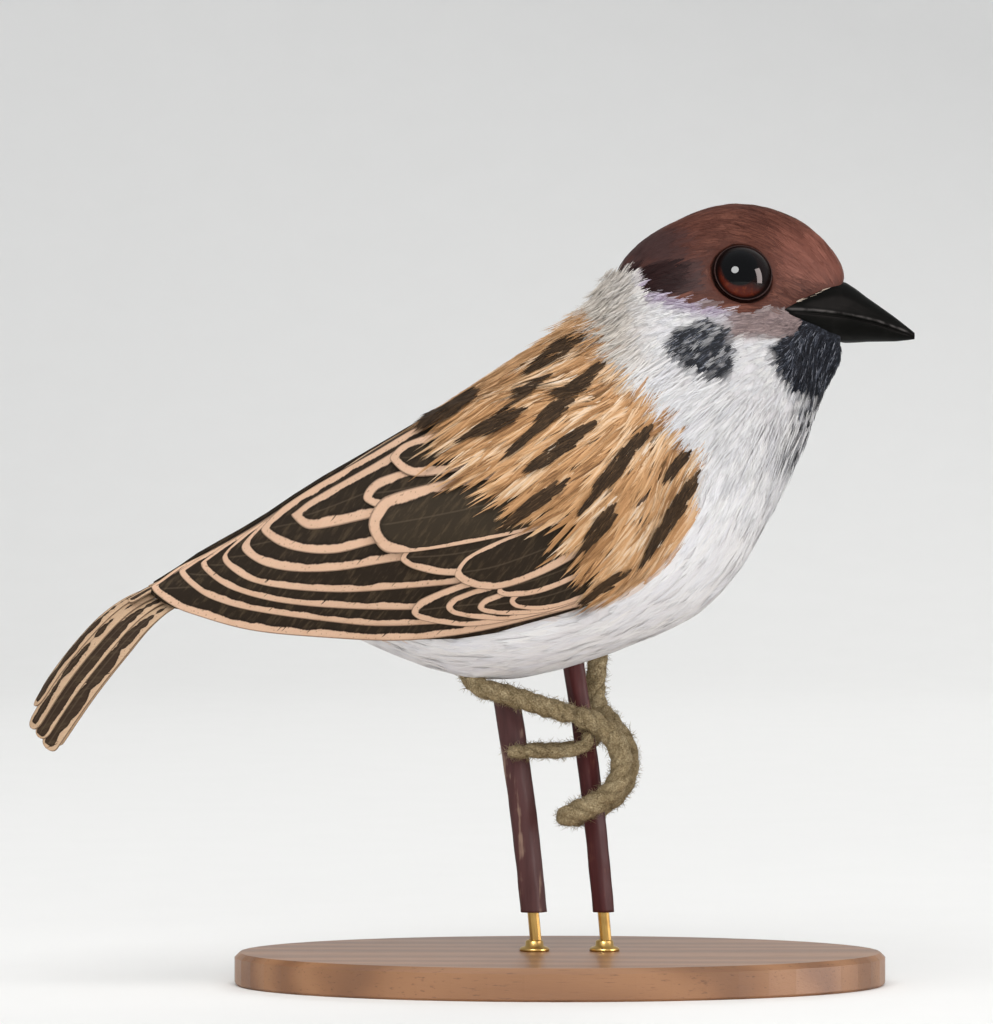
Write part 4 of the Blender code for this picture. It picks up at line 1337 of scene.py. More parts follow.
tailBuild = {
    "ridge": [(-58.2, 61.2), (-63.7, 60.0), (-68.2, 57.6), (-72.6, 53.5), (-77.8, 46.9), (-82.2, 39.4)],
    "side": [(-57.2, 58.6), (-59.9, 57.0), (-63.6, 53.8), (-67.5, 49.3), (-72.1, 43.4), (-77.3, 35.8)],
    "halfWidth": [2.6, 4.0, 5.0, 5.8, 6.5, 7.2],
    "roundness": 1.5,
    # middle of each feather across the tail, from -1 to 1, where it starts and ends along it,
    # half its width and its band
    "feathers": [(-0.84, 0.02, 1.0, 0.17, 0.66), (0.84, 0.02, 1.0, 0.17, 0.66),
                 (-0.60, 0.02, 0.98, 0.17, 0.52), (0.62, 0.02, 0.98, 0.16, 0.52),
                 (-0.36, 0.02, 0.97, 0.17, 0.95), (0.40, 0.02, 0.965, 0.17, 0.66),
                 (-0.12, 0.02, 0.90, 0.17, 0.58), (0.16, 0.02, 0.87, 0.16, 0.78)],
    "layer": 0.11 * mm,
    "thickness": 0.2 * mm,
    "length": 34.0,
    "grid": (44, 11),
    "coreEnd": (-58.4 * mm, 0, 59.0 * mm), "coreWay": (-0.56, 0, -0.83),
}
# small feathers down the middle of the rump, over the root of the tail
rumpBuild = {
    "ridge": [(-19.5, 86.6), (-25.5, 83.3), (-32.0, 79.2), (-38.0, 75.0), (-44.0, 71.0), (-50.0, 67.4),
              (-55.5, 64.5), (-59.5, 62.6), (-63.0, 61.0), (-66.5, 59.1)],
    "side": [(-19.5, 86.0), (-25.5, 82.7), (-32.0, 78.6), (-38.0, 74.4), (-44.0, 70.5), (-50.0, 66.9),
             (-55.5, 64.0), (-59.5, 62.0), (-63.0, 60.2), (-66.5, 58.1)],
    "halfWidth": [6.0, 5.2, 4.0, 3.2, 2.7, 2.3, 2.2, 2.5, 3.0, 3.4],
    "roundness": 2.0,
    "feathers": [(-0.5, 0.72, 0.98, 0.5, 0.55), (0.5, 0.70, 0.97, 0.5, 0.55), (0.0, 0.66, 1.0, 0.5, 0.6),
                 (-0.5, 0.56, 0.86, 0.5, 0.5), (0.5, 0.54, 0.84, 0.5, 0.5), (0.05, 0.50, 0.89, 0.5, 0.55),
                 (-0.5, 0.38, 0.70, 0.5, 0.5), (0.5, 0.36, 0.68, 0.5, 0.5), (-0.04, 0.34, 0.74, 0.5, 0.55),
                 (-0.5, 0.2, 0.52, 0.5, 0.6), (0.5, 0.18, 0.50, 0.5, 0.6), (0.03, 0.16, 0.56, 0.46, 0.7),
                 (-0.6, 0.0, 0.34, 0.42, 0.6), (0.6, 0.0, 0.32, 0.42, 0.6), (0.0, 0.0, 0.38, 0.4, 0.8)],
    "layer": 0.045 * mm,
    "thickness": 0.16 * mm,
    "length": 54.0,
    "grid": (24, 9),
}


def spineSpot(build, t, c):
    # a spot on the upper face: t along it from 0 to 1, c across it from -1 to 1
    places = t * (len(build["ridge"]) - 1)
    lines = np.concatenate([np.array(build["ridge"]), np.array(build["side"]),
                            np.array(build["halfWidth"])[:, None]], 1)
    dense = curveThrough(lines, 201)
    row = np.stack([np.interp(places, np.linspace(0, len(lines) - 1, 201), dense[:, k])
                    for k in range(5)], -1)
    bend = np.abs(c) ** build["roundness"]
    x = row[..., 0] + (row[..., 2] - row[..., 0]) * bend
    z = row[..., 1] + (row[..., 3] - row[..., 1]) * bend
    return np.stack([x, row[..., 4] * c, z], -1) * mm


longVane = {"crowding": 1.7, "rootWidth": 0.6, "widens": 0.45, "tip": 0.05, "tipSquareness": 2.4,
            "camber": 0.1 * mm, "reach": 0.01, "tone": 0.12, "grainAcross": 1.6, "grainShift": 11}


def layLongFeather(pile, build, feather, level):
    rows, columns = build["grid"]
    middle, start, end, halfWidth, band = feather
    share = np.linspace(0, 1, rows)
    t = start + (end - start) * (1 - (1 - share) ** longVane["crowding"])
    root = longVane["rootWidth"]
    half = halfWidth * (root + (1 - root) * softStep(share, 0, longVane["widens"]))
    toEnd = np.clip((t - end) / longVane["tip"] + 1, 0, 1)
    half *= np.sqrt(1 - toEnd ** longVane["tipSquareness"])
    across = np.linspace(-1, 1, columns)
    c = np.clip(middle + half[:, None] * across, -1, 1)
    gridT = np.repeat(t[:, None], columns, 1)
    spot = spineSpot(build, gridT, c)
    reach = longVane["reach"]
    run = (spineSpot(build, np.clip(gridT + reach, 0, 1), c)
           - spineSpot(build, np.clip(gridT - reach, 0, 1), c))
    over = spineSpot(build, gridT, c + reach) - spineSpot(build, gridT, c - reach)
    up = unit(np.cross(over, run))
    up *= np.sign(up[rows // 2, columns // 2, 2])
    height = level * build["layer"] + longVane["camber"] * (1 - across[None] ** 2)
    outer = spot + up * height[..., None]
    inner = outer - up * build["thickness"]
    width = np.linalg.norm(spineSpot(build, gridT, c + 0.1) - spineSpot(build, gridT, c), axis=-1) / 0.1
    sideGap = half[:, None] * (1 - np.abs(across)) * width / mm
    lengthAlong = (t[-1] - t) * build["length"]
    edge = np.minimum(sideGap, np.repeat(lengthAlong[:, None], columns, 1)) / band
    uv = np.stack([gridT * build["length"] + longVane["grainShift"] * level,
                   np.repeat(across[None] * longVane["grainAcross"], rows, 0)], -1)
    pile.add(outer, inner, edge, longVane["tone"], uv)


tailFinish = vaneFinish("tailFinish", shade(52, 38, 28), shade(70, 56, 44), shade(172, 140, 110),
                        shade(206, 176, 146), 2.4)
for name, build in (("tailFeathers", tailBuild), ("rumpFeathers", rumpBuild)):
    pile = VanePile()
    for level, feather in enumerate(build["feathers"]):
        layLongFeather(pile, build, feather, level)
    givePiece(newPiece(name, pile.mesh(name), tailFinish))
    print(name + ":", pile.count, "points")
tailCore = mergedCopy("tailCore", ["tail"])
cutPast(tailCore, tailBuild["coreEnd"], tailBuild["coreWay"])
storeNumber(tailCore, "edge", np.full(len(tailCore.vertices), 3.0))
storeNumber(tailCore, "vaneTone", np.full(len(tailCore.vertices), 0.1))
storeVector(tailCore, "vanePlace", coordsOf(tailCore) / mm)
givePiece(newPiece("tailCore", tailCore, tailFinish), ("tail",))


billBuild = {
    "stations": 96, "sides": 144, "crowding": 0.32,      # the sections' points stand closer at the sides
    "mouthLine": [(33.6, 103.2), (38.0, 103.1), (43.0, 102.6), (47.6, 101.7), (51.4, 100.5), (54.6, 99.3)],
    # the shelf over the line of the mouth, the groove under it and the ridge that carries a painted
    # highlight: depth, place, width
    "shelf": (0.24 * mm, 0.32 * mm, 0.4 * mm), "groove": (0.32 * mm, -0.12 * mm, 0.20 * mm),
    "ridge": (1.0, 0.34 * mm, 0.16 * mm), "shallow": 0.86,
}


def buildBill():
    # sections read from the solid, then the edge of the upper half is made to overhang the lower
    tree = treeOf(mergedCopy("bill", ["bill"]))
    low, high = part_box("bill")
    rings = []
    for share in np.linspace(0.004, 0.997, billBuild["stations"]):
        x = low.x + (high.x - low.x) * share
        top = tree.ray_cast(Vector((x, 0, high.z + 0.01)), Vector((0, 0, -1)))[0]
        bottom = tree.ray_cast(Vector((x, 0, low.z - 0.01)), Vector((0, 0, 1)))[0]
        middle = Vector((x, 0, (top.z + bottom.z) / 2))
        ring = []
        for angle in turns(billBuild["sides"]):
            angle -= billBuild["crowding"] * math.sin(2 * angle)
            way = Vector((0, math.cos(angle), math.sin(angle)))
            hit = tree.ray_cast(middle, way)[0]
            ring.append(hit if hit is not None else middle)
        rings.append(ring)
    points = np.array(rings)
    for _ in range(2):
        points[1:-1] = (points[:-2] + 2 * points[1:-1] + points[2:]) / 4
        points = (np.roll(points, 1, 1) + 2 * points + np.roll(points, -1, 1)) / 4
    mouth = smoothLine(billBuild["mouthLine"])(points[..., 0] / mm) * mm
    gap = points[..., 2] - mouth
    points[..., 2] = mouth + np.where(gap < 0, gap * billBuild["shallow"], gap)
    wide = softStep(abs(points[..., 1]), 0, 0.5 * mm) * np.sign(points[..., 1])
    shelf, groove, ridge = (billBuild[label][0] * bell(gap, *billBuild[label][1:])
                            for label in ("shelf", "groove", "ridge"))
    size = softStep(high.x - points[..., 0], 0, 4 * mm)
    points[..., 1] += wide * (shelf - groove) * (0.25 + 0.75 * size)
    faces = ringFaces(*points.shape[:2], capped=True)
    mesh = outward(meshFrom("bill", points.reshape(-1, 3), faces))
    storeNumber(mesh, "ridge", ridge)
    return mesh


def billFinish():
    finish, graph = newFinish("billFinish")
    where = graph.place((1, 1, 1), (0, 0.22, 0))
    streak = graph.grain(graph.vector("MULTIPLY", where, (120, 900, 900)), 1.0, 4.0)
    cloud = graph.grain(where, 420, 3.0)
    colour = graph.blend(streak, shade(6, 6, 5), shade(17, 17, 15))
    colour = graph.blend(cloud.rise(0.55, 0.8) * 0.3, colour, shade(40, 39, 37))
    # painted highlight: a pale line along the ridge over the mouth, broken up by the clouding
    ridgeHighlight = graph.read("ridge")[0] * cloud.rise(0.35, 0.6) * 0.7
    colour = graph.blend(ridgeHighlight, colour, shade(96, 92, 90))
    return closeFinish(finish, graph, {"Base Color": colour, "Roughness": 0.38 + 0.2 * cloud,
                                       "Specular IOR Level": 0.03}, streak * 0.6 + cloud, 0.25, 0.08 * mm)


givePiece(newPiece("billShell", buildBill(), billFinish()), ("bill",))


eyeBuild = {
    "rings": 30, "sides": 72, "dome": 2.3 * mm,
    # the hidden back of the dome: shares of its radius, and millimetres below its edge
    "back": [(1.0, 0.5), (0.9, 1.2), (0.5, 1.6), (0.0, 1.6)],
    "pupil": 2.65, "pupilShift": (-0.75, 0.45),      # millimetres from the eye's middle, in x and z
    "rimTube": 0.11 * mm, "rimSides": 10, "rimDrop": 0.05 * mm,
    "lid": 0.25,      # how much fuller the rim is above and below, as lids are
}


def eyeShape(node):
    # the middle line, top and rim of a domed eye, read from its solid
    points = coordsOf(mergedCopy(node, [node]))
    middle = points.mean(0)
    _, ways = np.linalg.eigh(np.cov((points - middle).T))
    axis = ways[:, np.argmax(abs(ways[1]))]
    axis = axis * np.sign(axis[1]) * np.sign(middle[1])
    off = points - middle
    radial = np.linalg.norm(off - np.outer(off @ axis, axis), axis=1)
    return Vector(middle), Vector(axis), float((off @ axis).max()), float(radial.max())


def ballOf(radius):
    # the radius of the ball that the dome is a cap of
    return (radius ** 2 + eyeBuild["dome"] ** 2) / (2 * eyeBuild["dome"])


def buildEye(node):
    middle, axis, top, radius = eyeShape(node)
    ball, edge = ballOf(radius), top - eyeBuild["dome"]
    profile = []
    for share in np.linspace(0, 1, eyeBuild["rings"]):
        r = radius * math.sin(share * math.pi / 2)
        profile.append((r, top - ball + math.sqrt(ball ** 2 - r ** 2)))
    profile += [(radius * share, edge - drop * mm) for share, drop in eyeBuild["back"]]
    across = axis.cross(Vector((0, 0, 1))).normalized()
    up = across.cross(axis)
    sides, tube = eyeBuild["sides"], turns(eyeBuild["rimSides"])
    angles = turns(sides)
    ways = [across * math.cos(angle) + up * math.sin(angle) for angle in angles]
    points = [middle + axis * h + way * r for r, h in profile for way in ways]
    dome = outward(meshFrom(node, points, ringFaces(len(profile), sides)), 0.002 * mm)
    points = []
    for angle, way in zip(angles, ways):
        lid = 1 + eyeBuild["lid"] * math.cos(2 * angle)
        for turn in tube:
            rise = edge - eyeBuild["rimDrop"] + eyeBuild["rimTube"] * lid * math.sin(turn)
            points.append(middle + way * (radius + eyeBuild["rimTube"] * math.cos(turn)) + axis * rise)
    return dome, outward(meshFrom(node + "Rim", points, ringFaces(sides, len(tube), closed=True))), middle


def eyeFinish(name, middle):
    finish, graph = newFinish(name)
    where = graph.place((1, 1, 1), (0, 0, 0), (-middle.x, -middle.y, -middle.z))
    x, _, z = graph.parts(where)
    x, z = x / mm, z / mm
    shiftX, shiftZ = eyeBuild["pupilShift"]
    fromPupil = ((x - shiftX) ** 2.0 + (z - shiftZ) ** 2.0).calc("SQRT")
    fromMiddle = (x ** 2.0 + z ** 2.0).calc("SQRT")
    fibres = graph.grain(where, 1400, 3.0)
    # painted light: the iris is dark above, as in shade, and glows amber low down, as where light comes
    # through the dome; its fibres brighten only in that glow
    low = (z * -1.0 - x * 0.45 + (fibres - 0.5) * 0.6).rise(0.6, 3.4)
    iris = graph.blend(low, shade(16, 6, 5), shade(74, 22, 8))
    iris = graph.blend(fibres.rise(0.5, 0.8) * low * 0.6, iris, shade(106, 44, 15))
    colour = graph.blend(fromPupil.rise(eyeBuild["pupil"] + 0.35, eyeBuild["pupil"] - 0.15), iris,
                         shade(4, 4, 5))
    colour = graph.blend(fromMiddle.rise(3.6, 4.2), colour, shade(16, 7, 6))
    return closeFinish(finish, graph, {"Base Color": colour, "Roughness": 0.3, "Specular IOR Level": 0.0,
                                       "Coat Weight": 1.0 - 0.9 * fromMiddle.rise(3.3, 4.0),
                                       "Coat Roughness": 0.015, "Coat IOR": 1.28})


def rimFinish():
    finish, graph = newFinish("eyeRimFinish")
    wrinkle = graph.grain(graph.place(), 1800, 3.0)
    colour = graph.blend(wrinkle, shade(26, 12, 10), shade(62, 34, 28))
    return closeFinish(finish, graph, {"Base Color": colour, "Roughness": 0.7, "Specular IOR Level": 0.2},
                       wrinkle, 0.5, 0.1 * mm)


lidFinish = rimFinish()
for node in eyeNodes:
    dome, rim, middle = buildEye(node)
    look = eyeFinish(node.replace("eye_", "eyeFinish_"), middle)
    givePiece(newPiece(node.replace("eye_", "eyeDome_"), dome, look), (node,))
    givePiece(newPiece(node.replace("eye_", "eyeRim_"), rim, lidFinish))
print("bill and eyes made")


# the bound wire of the legs and toes: each route's points and its half thickness, in millimetres
limbRoutes = {
    "leg_right": (1.4, [(-14.8, -1.4, 49.6), (-12.7, -4.2, 46.2), (-8.4, -4.4, 44.8), (-3.4, -3.8, 43.2),
                        (2.4, -2.6, 41.4)]),
    "toe_front_right": (1.55, [(2.0, -2.6, 41.6), (5.8, -2.3, 40.1), (8.4, -2.3, 37.5),
                               (9.4, -2.3, 34.0), (8.5, -2.3, 30.7), (5.9, -2.3, 28.2),
                               (2.6, -2.3, 26.7), (-0.2, -1.2, 25.4)]),
    "toe_back_right": (0.92, [(4.4, -2.3, 38.8), (3.7, -2.2, 36.8), (0.4, -2.2, 35.9), (-3.8, -2.3, 35.9),
                              (-8.0, -2.2, 35.8)]),
    "leg_left": (1.4, [(6.0, 5.2, 54.0), (5.8, 5.3, 49.0), (5.5, 5.4, 45.0), (6.0, 5.3, 42.0)]),
    "toe_front_left": (1.55, [(6.0, 5.3, 42.3), (8.1, 5.2, 39.4), (10.0, 5.2, 36.6), (10.6, 5.2, 33.4),
                              (9.7, 5.2, 30.3), (7.4, 5.2, 27.8), (4.4, 5.2, 26.2), (1.6, 4.4, 25.0)]),
    "toe_back_left": (0.92, [(6.2, 5.3, 38.6), (4.9, 5.3, 37.0), (1.0, 5.2, 36.0), (-3.8, 5.2, 35.8),
                             (-8.6, 5.1, 35.8)]),
}
twine = {"plies": 3, "pitch": 7.5 * mm, "fuzz": 5.0, "fuzzLength": 1.5 * mm, "seed": 5, "fill": 1.1,
         "step": 0.3 * mm, "plyRadius": 0.68, "plyReach": 0.36, "plySides": 8, "taper": 14.0}


def makeFibre():
    # one bent hair of the twine, 1 long, with three sides
    points = []
    for x, y, r in ((0, 0, 0.03), (0.45, 0.07, 0.026), (0.8, 0.22, 0.018)):
        points += [(x, y + r * math.cos(turn), r * math.sin(turn)) for turn in turns(3)]
    points.append((1.0, 0.36, 0))
    faces = [(0, 2, 1)] + ringFaces(3, 3) + [(6 + j, 6 + (j + 1) % 3, 9) for j in range(3)]
    return bpy.data.objects.new("twineFibre", outward(meshFrom("twineFibre", points, faces)))


def writeTwineTree():
    # plies wound round a route, with loose fibres standing off them
    tree, graph, fed = newTree("twineTree", [
        ("Radius", "NodeSocketFloat", 1.5 * mm), ("Pitch", "NodeSocketFloat", twine["pitch"]),
        ("Fibre", "NodeSocketObject", None), ("Fibre Length", "NodeSocketFloat", twine["fuzzLength"]),
        ("Fibre Density", "NodeSocketFloat", twine["fuzz"] / mm ** 2),
        ("Finish", "NodeSocketMaterial", None), ("Seed", "NodeSocketInt", twine["seed"])])
    route = graph.node("GeometryNodeResampleCurve", {"mode": "LENGTH"},
                       {"Curve": fed["Geometry"], "Length": twine["step"]})
    run = graph.node("GeometryNodeSplineParameter", None, None, "Length")
    share = graph.also(run, "Factor")
    normal = graph.node("GeometryNodeInputNormal")
    tangent = graph.node("GeometryNodeInputTangent")
    side = graph.vector("CROSS_PRODUCT", tangent, normal)
    ends = share.calc("MINIMUM", 1.0 - share) * twine["taper"]
    taper = (1.0 - (1.0 - ends).calc("MAXIMUM", 0.0) ** 2.0).calc("MAXIMUM", 0.02).calc("SQRT")
    ring = graph.node("GeometryNodeCurvePrimitiveCircle", None,
                      {"Resolution": twine["plySides"], "Radius": fed["Radius"] * twine["plyRadius"]})
    plies = []
    for k in range(twine["plies"]):
        turn = run * (2 * math.pi) / fed["Pitch"] + 2 * math.pi * k / twine["plies"]
        wobble = graph.grain(graph.node("GeometryNodeInputPosition"), 900, 2.0) * 0.5 + 0.75
        reach = fed["Radius"] * twine["plyReach"] * taper * wobble
        first = graph.vector("SCALE", normal, turn.calc("COSINE") * reach)
        second = graph.vector("SCALE", side, turn.calc("SINE") * reach)
        ply = graph.node("GeometryNodeSetPosition", None,
                         {"Geometry": route, "Offset": graph.vector("ADD", first, second)})
        ply = graph.node("GeometryNodeSetCurveRadius", None, {0: ply, "Radius": taper})
        ply = graph.node("GeometryNodeCurveToMesh", None,
                         {"Curve": ply, "Profile Curve": ring, "Scale": taper, "Fill Caps": True})
        plies.append(graph.node("GeometryNodeStoreNamedAttribute", {"data_type": "FLOAT", "domain": "POINT"},
                                {"Geometry": ply, "Name": "plyRun", "Value": run}))
    body = graph.gather(*plies)
    spots = graph.node("GeometryNodeDistributePointsOnFaces", None,
                       {"Mesh": body, "Density": fed["Fibre Density"], "Seed": fed["Seed"]})
    leaning = graph.node("FunctionNodeRandomValue", {"data_type": "FLOAT_VECTOR"},
                         {0: (-0.6, -0.75, -3.2), 1: (0.6, 0.05, 3.2), "Seed": fed["Seed"]})
    turned = graph.node("FunctionNodeRotateRotation", {"rotation_space": "LOCAL"},
                        {0: graph.also(spots, "Rotation"), 1: leaning})
    grow = graph.node("FunctionNodeRandomValue", {"data_type": "FLOAT"},
                      {2: 0.3, 3: 1.0, "Seed": fed["Seed"]}, 1)
    hair = graph.node("GeometryNodeObjectInfo", None, {"Object": fed["Fibre"]}, "Geometry")
    fuzz = graph.node("GeometryNodeInstanceOnPoints", None,
                      {"Points": spots, "Instance": hair, "Rotation": turned,
                       "Scale": grow * fed["Fibre Length"]})
    real = graph.node("GeometryNodeRealizeInstances", None, {0: graph.gather(body, fuzz)})
    smooth = graph.node("GeometryNodeSetShadeSmooth", None, {0: real})
    done = graph.node("GeometryNodeSetMaterial", None, {"Geometry": smooth, "Material": fed["Finish"]})
    graph.node("NodeGroupOutput", None, {0: done})
    return tree


def twineFinish():
    finish, graph = newFinish("twineFinish")
    where = graph.place()
    broad = graph.grain(where, 350, 2.0)
    fibre = graph.grain(where, 3800, 3.0, 0.7)
    colour = graph.ramp(fibre * 0.7 + broad * 0.3, (0.3, shade(98, 80, 54)), (0.5, shade(160, 141, 106)),
                        (0.7, shade(216, 198, 162)))
    return closeFinish(finish, graph, {"Base Color": colour, "Roughness": 0.9, "Specular IOR Level": 0.1},
                       fibre, 1.0, 0.35 * mm)


def polyCurve(name, points):
    curve = bpy.data.curves.new(name, "CURVE")
    curve.dimensions = "3D"
    spline = curve.splines.new("POLY")
    spline.points.add(len(points) - 1)
    for spot, point in zip(spline.points, points):
        spot.co = (*point, 1.0)
    return curve


twineLook = twineFinish()
fibreObject = makeFibre()
twineTree = writeTwineTree()
for node, (radius, route) in limbRoutes.items():
    line = curveThrough(np.array(route) * mm, 12 * len(route))
    grown = growTree(node, twineTree, polyCurve(node, line),
                     {"Radius": radius * mm * twine["fill"], "Fibre": fibreObject, "Finish": twineLook})
    name = "twine" + "".join(part.capitalize() for part in node.split("_"))
    givePiece(newPiece(name, grown, twineLook), (node,))
    print(name, len(grown.polygons), "faces")


stemBuild = {"rings": 90, "sides": 30, "ribs": 5, "ribDepth": 0.06, "ribTwist": 2.2, "wobble": 0.05,
             "thinner": 0.96,
             "lowered": {"perch_stem_front": -1.0 * mm, "perch_stem_rear": 1.3 * mm}}


def buildStem(node, seed):
    # a ribbed stalk round the middle line of its solid
    points = coordsOf(mergedCopy(node, [node]))
    levels = np.unique(np.round(points[:, 2], 5))
    centres = np.array([points[abs(points[:, 2] - z) < 0.02 * mm].mean(0) for z in levels])
    nearest = np.stack([np.interp(points[:, 2], levels, centres[:, k]) for k in range(2)], 1)
    radius = np.percentile(np.linalg.norm(points[:, :2] - nearest, axis=1), 80) * stemBuild["thinner"]
    rings = []
    for z in np.linspace(levels[0], levels[-1] - stemBuild["lowered"][node], stemBuild["rings"]):
        share = (z - levels[0]) / (levels[-1] - levels[0])
        x, y = (np.interp(z, levels, centres[:, k]) for k in range(2))
        for angle in turns(stemBuild["sides"]):
            c, s = math.cos(angle), math.sin(angle)
            turned = stemBuild["ribs"] * angle + stemBuild["ribTwist"] * share + seed
            rib = 1 + stemBuild["ribDepth"] * math.cos(turned)
            swell = 1 + stemBuild["wobble"] * noise.noise(Vector((z * 260, c, s + seed)))
            reach = radius * rib * swell
            rings.append((x + reach * c, y + reach * s, z))
    return outward(meshFrom(node, rings, ringFaces(stemBuild["rings"], stemBuild["sides"], capped=True)))


def stemFinish(name, dark, light, edge):
    finish, graph = newFinish(name)
    streak = graph.grain(graph.place((900, 900, 60)), 1.0, 4.0, 0.6)
    cloud = graph.grain(graph.place(), 300, 2.0)
    colour = graph.blend(streak, dark, light)
    # painted highlight: pale streaks where the noise peaks stand in for the stalk's pinkish shine
    colour = graph.blend((streak * 0.6 + cloud * 0.4).rise(0.56, 0.66) * 0.6, colour, edge)
    return closeFinish(finish, graph, {"Base Color": colour, "Roughness": 0.42 + 0.2 * cloud,
                                       "Specular IOR Level": 0.22}, streak, 0.5, 0.15 * mm)


def pithFinish():
    # the pale cut end of a stem
    finish, graph = newFinish("pithFinish")
    colour = graph.blend(graph.grain(graph.place(), 1500, 2.0), shade(150, 128, 96), shade(206, 188, 156))
    return closeFinish(finish, graph, {"Base Color": colour, "Roughness": 0.85})


pithLook = pithFinish()
# the last colour of each stem's finish is its painted highlight
stemLooks = {
    "perch_stem_rear": stemFinish("stemRearFinish", shade(58, 30, 30), shade(96, 60, 58),
                                  shade(166, 138, 118)),
    "perch_stem_front": stemFinish("stemFrontFinish", shade(46, 16, 17), shade(88, 36, 35),
                                   shade(122, 80, 60)),
}
for seed, (node, look) in enumerate(stemLooks.items()):
    mesh = buildStem(node, seed)
    mesh.materials.append(look)
    mesh.materials.append(pithLook)
    for face in mesh.polygons:
        face.use_smooth = True
        face.material_index = 1 if face.loop_total > 4 else 0
    piece = newPiece(node.replace("perch_stem_", "stem_"), mesh, None, False)
    givePiece(piece, (node,))
print("stems made")


def woodFinish():
    finish, graph = newFinish("woodFinish")
    where = graph.place((26, 190, 190))
    bend = graph.grain(graph.place((14, 60, 60)), 1.0, 2.0)
    rings = graph.node("ShaderNodeTexWave", {"wave_type": "BANDS", "bands_direction": "Y"},
                       {"Vector": where, "Scale": 0.22, "Distortion": 7.0, "Detail": 3.0,
                        "Detail Scale": 1.2}, 1)
    pores = graph.grain(graph.place((160, 2600, 2600)), 1.0, 3.0, 0.7)
    colour = graph.ramp(rings * 0.7 + bend * 0.3, (0.0, shade(116, 76, 46)), (0.5, shade(138, 94, 58)),
                        (1.0, shade(156, 110, 72)))
    colour = graph.blend(pores.rise(0.58, 0.72) * 0.55, colour, shade(66, 38, 22))
    return closeFinish(finish, graph, {"Base Color": colour, "Roughness": 0.36 + 0.2 * pores,
                                       "Coat Weight": 0.25, "Coat Roughness": 0.2},
                       pores * -1.0, 0.35, 0.1 * mm)


def brassFinish():
    finish, graph = newFinish("brassFinish")
    drawn = graph.grain(graph.place((4000, 4000, 60)), 1.0, 2.0)
    stain = graph.grain(graph.place(), 260, 3.0)
    colour = graph.blend(stain.rise(0.45, 0.75) * 0.5, shade(196, 162, 96), shade(138, 104, 56))
    return closeFinish(finish, graph, {"Base Color": colour, "Metallic": 1.0,
                                       "Roughness": 0.26 + 0.16 * drawn}, drawn, 0.15, 0.03 * mm)


def lathe(name, profile, centre, sides=40):
    points = []
    for r, z in profile:
        points += [centre + Vector((r * math.cos(angle), r * math.sin(angle), z)) * mm
                   for angle in turns(sides)]
    return outward(meshFrom(name, points, ringFaces(len(profile), sides, closed=True)))


# the collar at each rod's foot: radius and height, in millimetres
collarProfile = [(0.92, 0.0), (2.3, 0.0), (2.3, 0.35), (2.0, 0.6), (1.45, 0.75), (1.35, 1.5),
                 (1.15, 1.7), (0.92, 1.7)]
brass = brassFinish()
dress(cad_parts["stand_base"].data, woodFinish())
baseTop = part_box("stand_base")[1].z
for node in ("stand_rod_front", "stand_rod_rear"):
    dress(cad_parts[node].data, brass)
    low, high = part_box(node)
    foot = Vector(((low.x + high.x) / 2, (low.y + high.y) / 2, baseTop))
    collar = lathe(node, collarProfile, foot)
    givePiece(newPiece(node.replace("stand_rod_", "rodCollar_"), collar, brass))
print("stand made")


studio = {
    "aim": (4.16, 0.0, 12.47),         # from the middle of the whole ornament, in millimetres
    "distance": 0.9, "elevation": 1.2, "shown": 152.33,
    "floor": shade(240, 239, 236), "world": 0.5, "sky": (0.92, 0.95, 1.0, 1.0),
    "floorFront": -3.0, "floorHalf": 4, "bendStart": 0.9, "bendRadius": 0.6, "wallTop": 4.0,
    # where each soft light stands from the aim, its size and its power
    "lights": {"topLight": ((-0.1, -0.45, 1.0), 1.1, 8.0), "fillLight": ((0.3, -1.1, 0.1), 1.2, 8.0),
               "backLight": ((0.3, 0.9, 0.7), 0.7, 3.0)},
}
low, high = cadBounds
aim = (low + high) / 2 + Vector(studio["aim"]) * mm


def placeCamera():
    rise = math.radians(studio["elevation"])
    data = bpy.data.cameras.new("camera")
    data.sensor_fit, data.sensor_width = "HORIZONTAL", 36.0
    data.lens = 36.0 * studio["distance"] / (studio["shown"] * mm)
    camera = newObject("camera", data)
    camera.location = aim + Vector((0, -math.cos(rise), math.sin(rise))) * studio["distance"]
    camera.rotation_euler = (math.pi / 2 - rise, 0, 0)
    bpy.context.scene.camera = camera
    return camera


def placeLight(name, spot, size, power, colour=(1, 1, 1), sizeY=None, mirrored=False):
    data = bpy.data.lights.new(name, "AREA")
    data.energy, data.size, data.color = power, size, colour
    data.shape = "DISK"
    if sizeY is not None:
        data.shape, data.size_y = "RECTANGLE", sizeY
    light = newObject(name, data)
    light.location = spot
    light.rotation_euler = (aim - Vector(spot)).to_track_quat("-Z", "Y").to_euler()
    light.visible_glossy = mirrored
    light.visible_diffuse = not mirrored


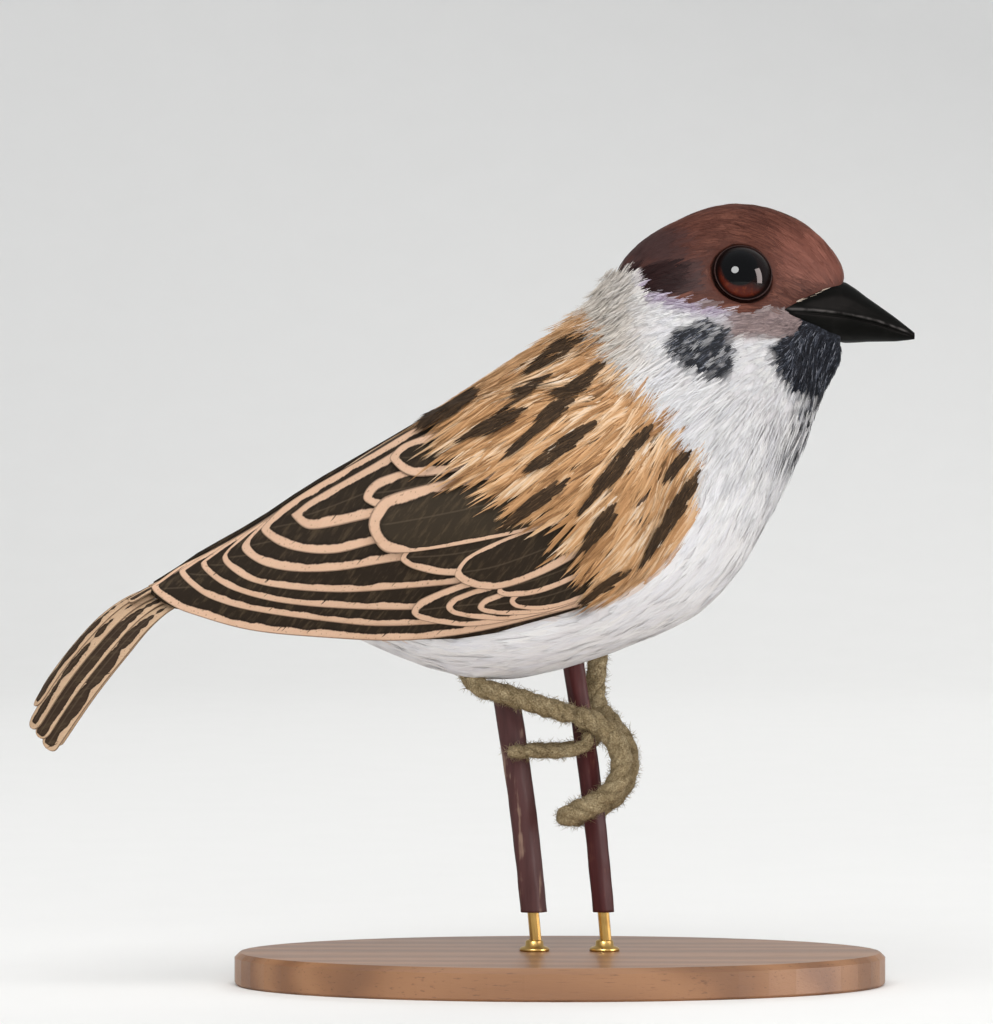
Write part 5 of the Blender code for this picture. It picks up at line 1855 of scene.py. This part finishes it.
def floorFinish():
    finish, graph = newFinish("floorFinish")
    fleck = graph.grain(graph.place(), 60, 2.0)
    colour = graph.blend(fleck * 0.2, studio["floor"], shade(228, 227, 223))
    return closeFinish(finish, graph, {"Base Color": colour, "Roughness": 0.8})


def placeFloor():
    # a floor that curves up into a pale wall well behind
    points, faces = [], []
    start, radius, half = studio["bendStart"], studio["bendRadius"], studio["floorHalf"]
    line = [(studio["floorFront"], 0.0), (start, 0.0)]
    line += [(start + radius * math.sin(a), radius - radius * math.cos(a))
             for a in np.linspace(0.12, math.pi / 2, 14)]
    line += [(start + radius, studio["wallTop"])]
    for y, z in line:
        points += [(-half, y, z), (half, y, z)]
    for k in range(len(line) - 1):
        faces.append((2 * k, 2 * k + 1, 2 * k + 3, 2 * k + 2))
    newPiece("floor", meshFrom("floor", points, faces), floorFinish())


def mirrorSpot(spotX, spotZ, away):
    # where a light has to be to shine back from that spot of the right eye
    middle, axis, top, radius = eyeShape("eye_right")
    ball = ballOf(radius)
    centre = middle + axis * (top - ball)
    offX, offZ = spotX * mm - centre.x, spotZ * mm - centre.z
    normal = Vector((offX, -math.sqrt(ball ** 2 - offX ** 2 - offZ ** 2), offZ)) / ball
    toCamera = (camera.location - centre).normalized()
    return centre + (2 * normal.dot(toCamera) * normal - toCamera) * away


camera = placeCamera()
placeFloor()
for name, (way, size, power) in studio["lights"].items():
    placeLight(name, aim + Vector(way), size, power)
placeLight("frontGlint", mirrorSpot(26.2, 109.4, 0.85), 0.34, 9.0, (1, 1, 1), None, True)
placeLight("sideGlint", mirrorSpot(29.9, 108.5, 0.85), 0.3, 10.0, (1.0, 0.86, 0.84), 0.6, True)
bpy.context.scene.view_settings.view_transform = "Standard"
world = bpy.data.worlds.new("studioWorld")
world.use_nodes = True
sky = world.node_tree.nodes["Background"]
sky.inputs[0].default_value = studio["sky"]
sky.inputs[1].default_value = studio["world"]
bpy.context.scene.world = world

for form in (bodyForm, mantleForm):
    bpy.data.objects.remove(form)
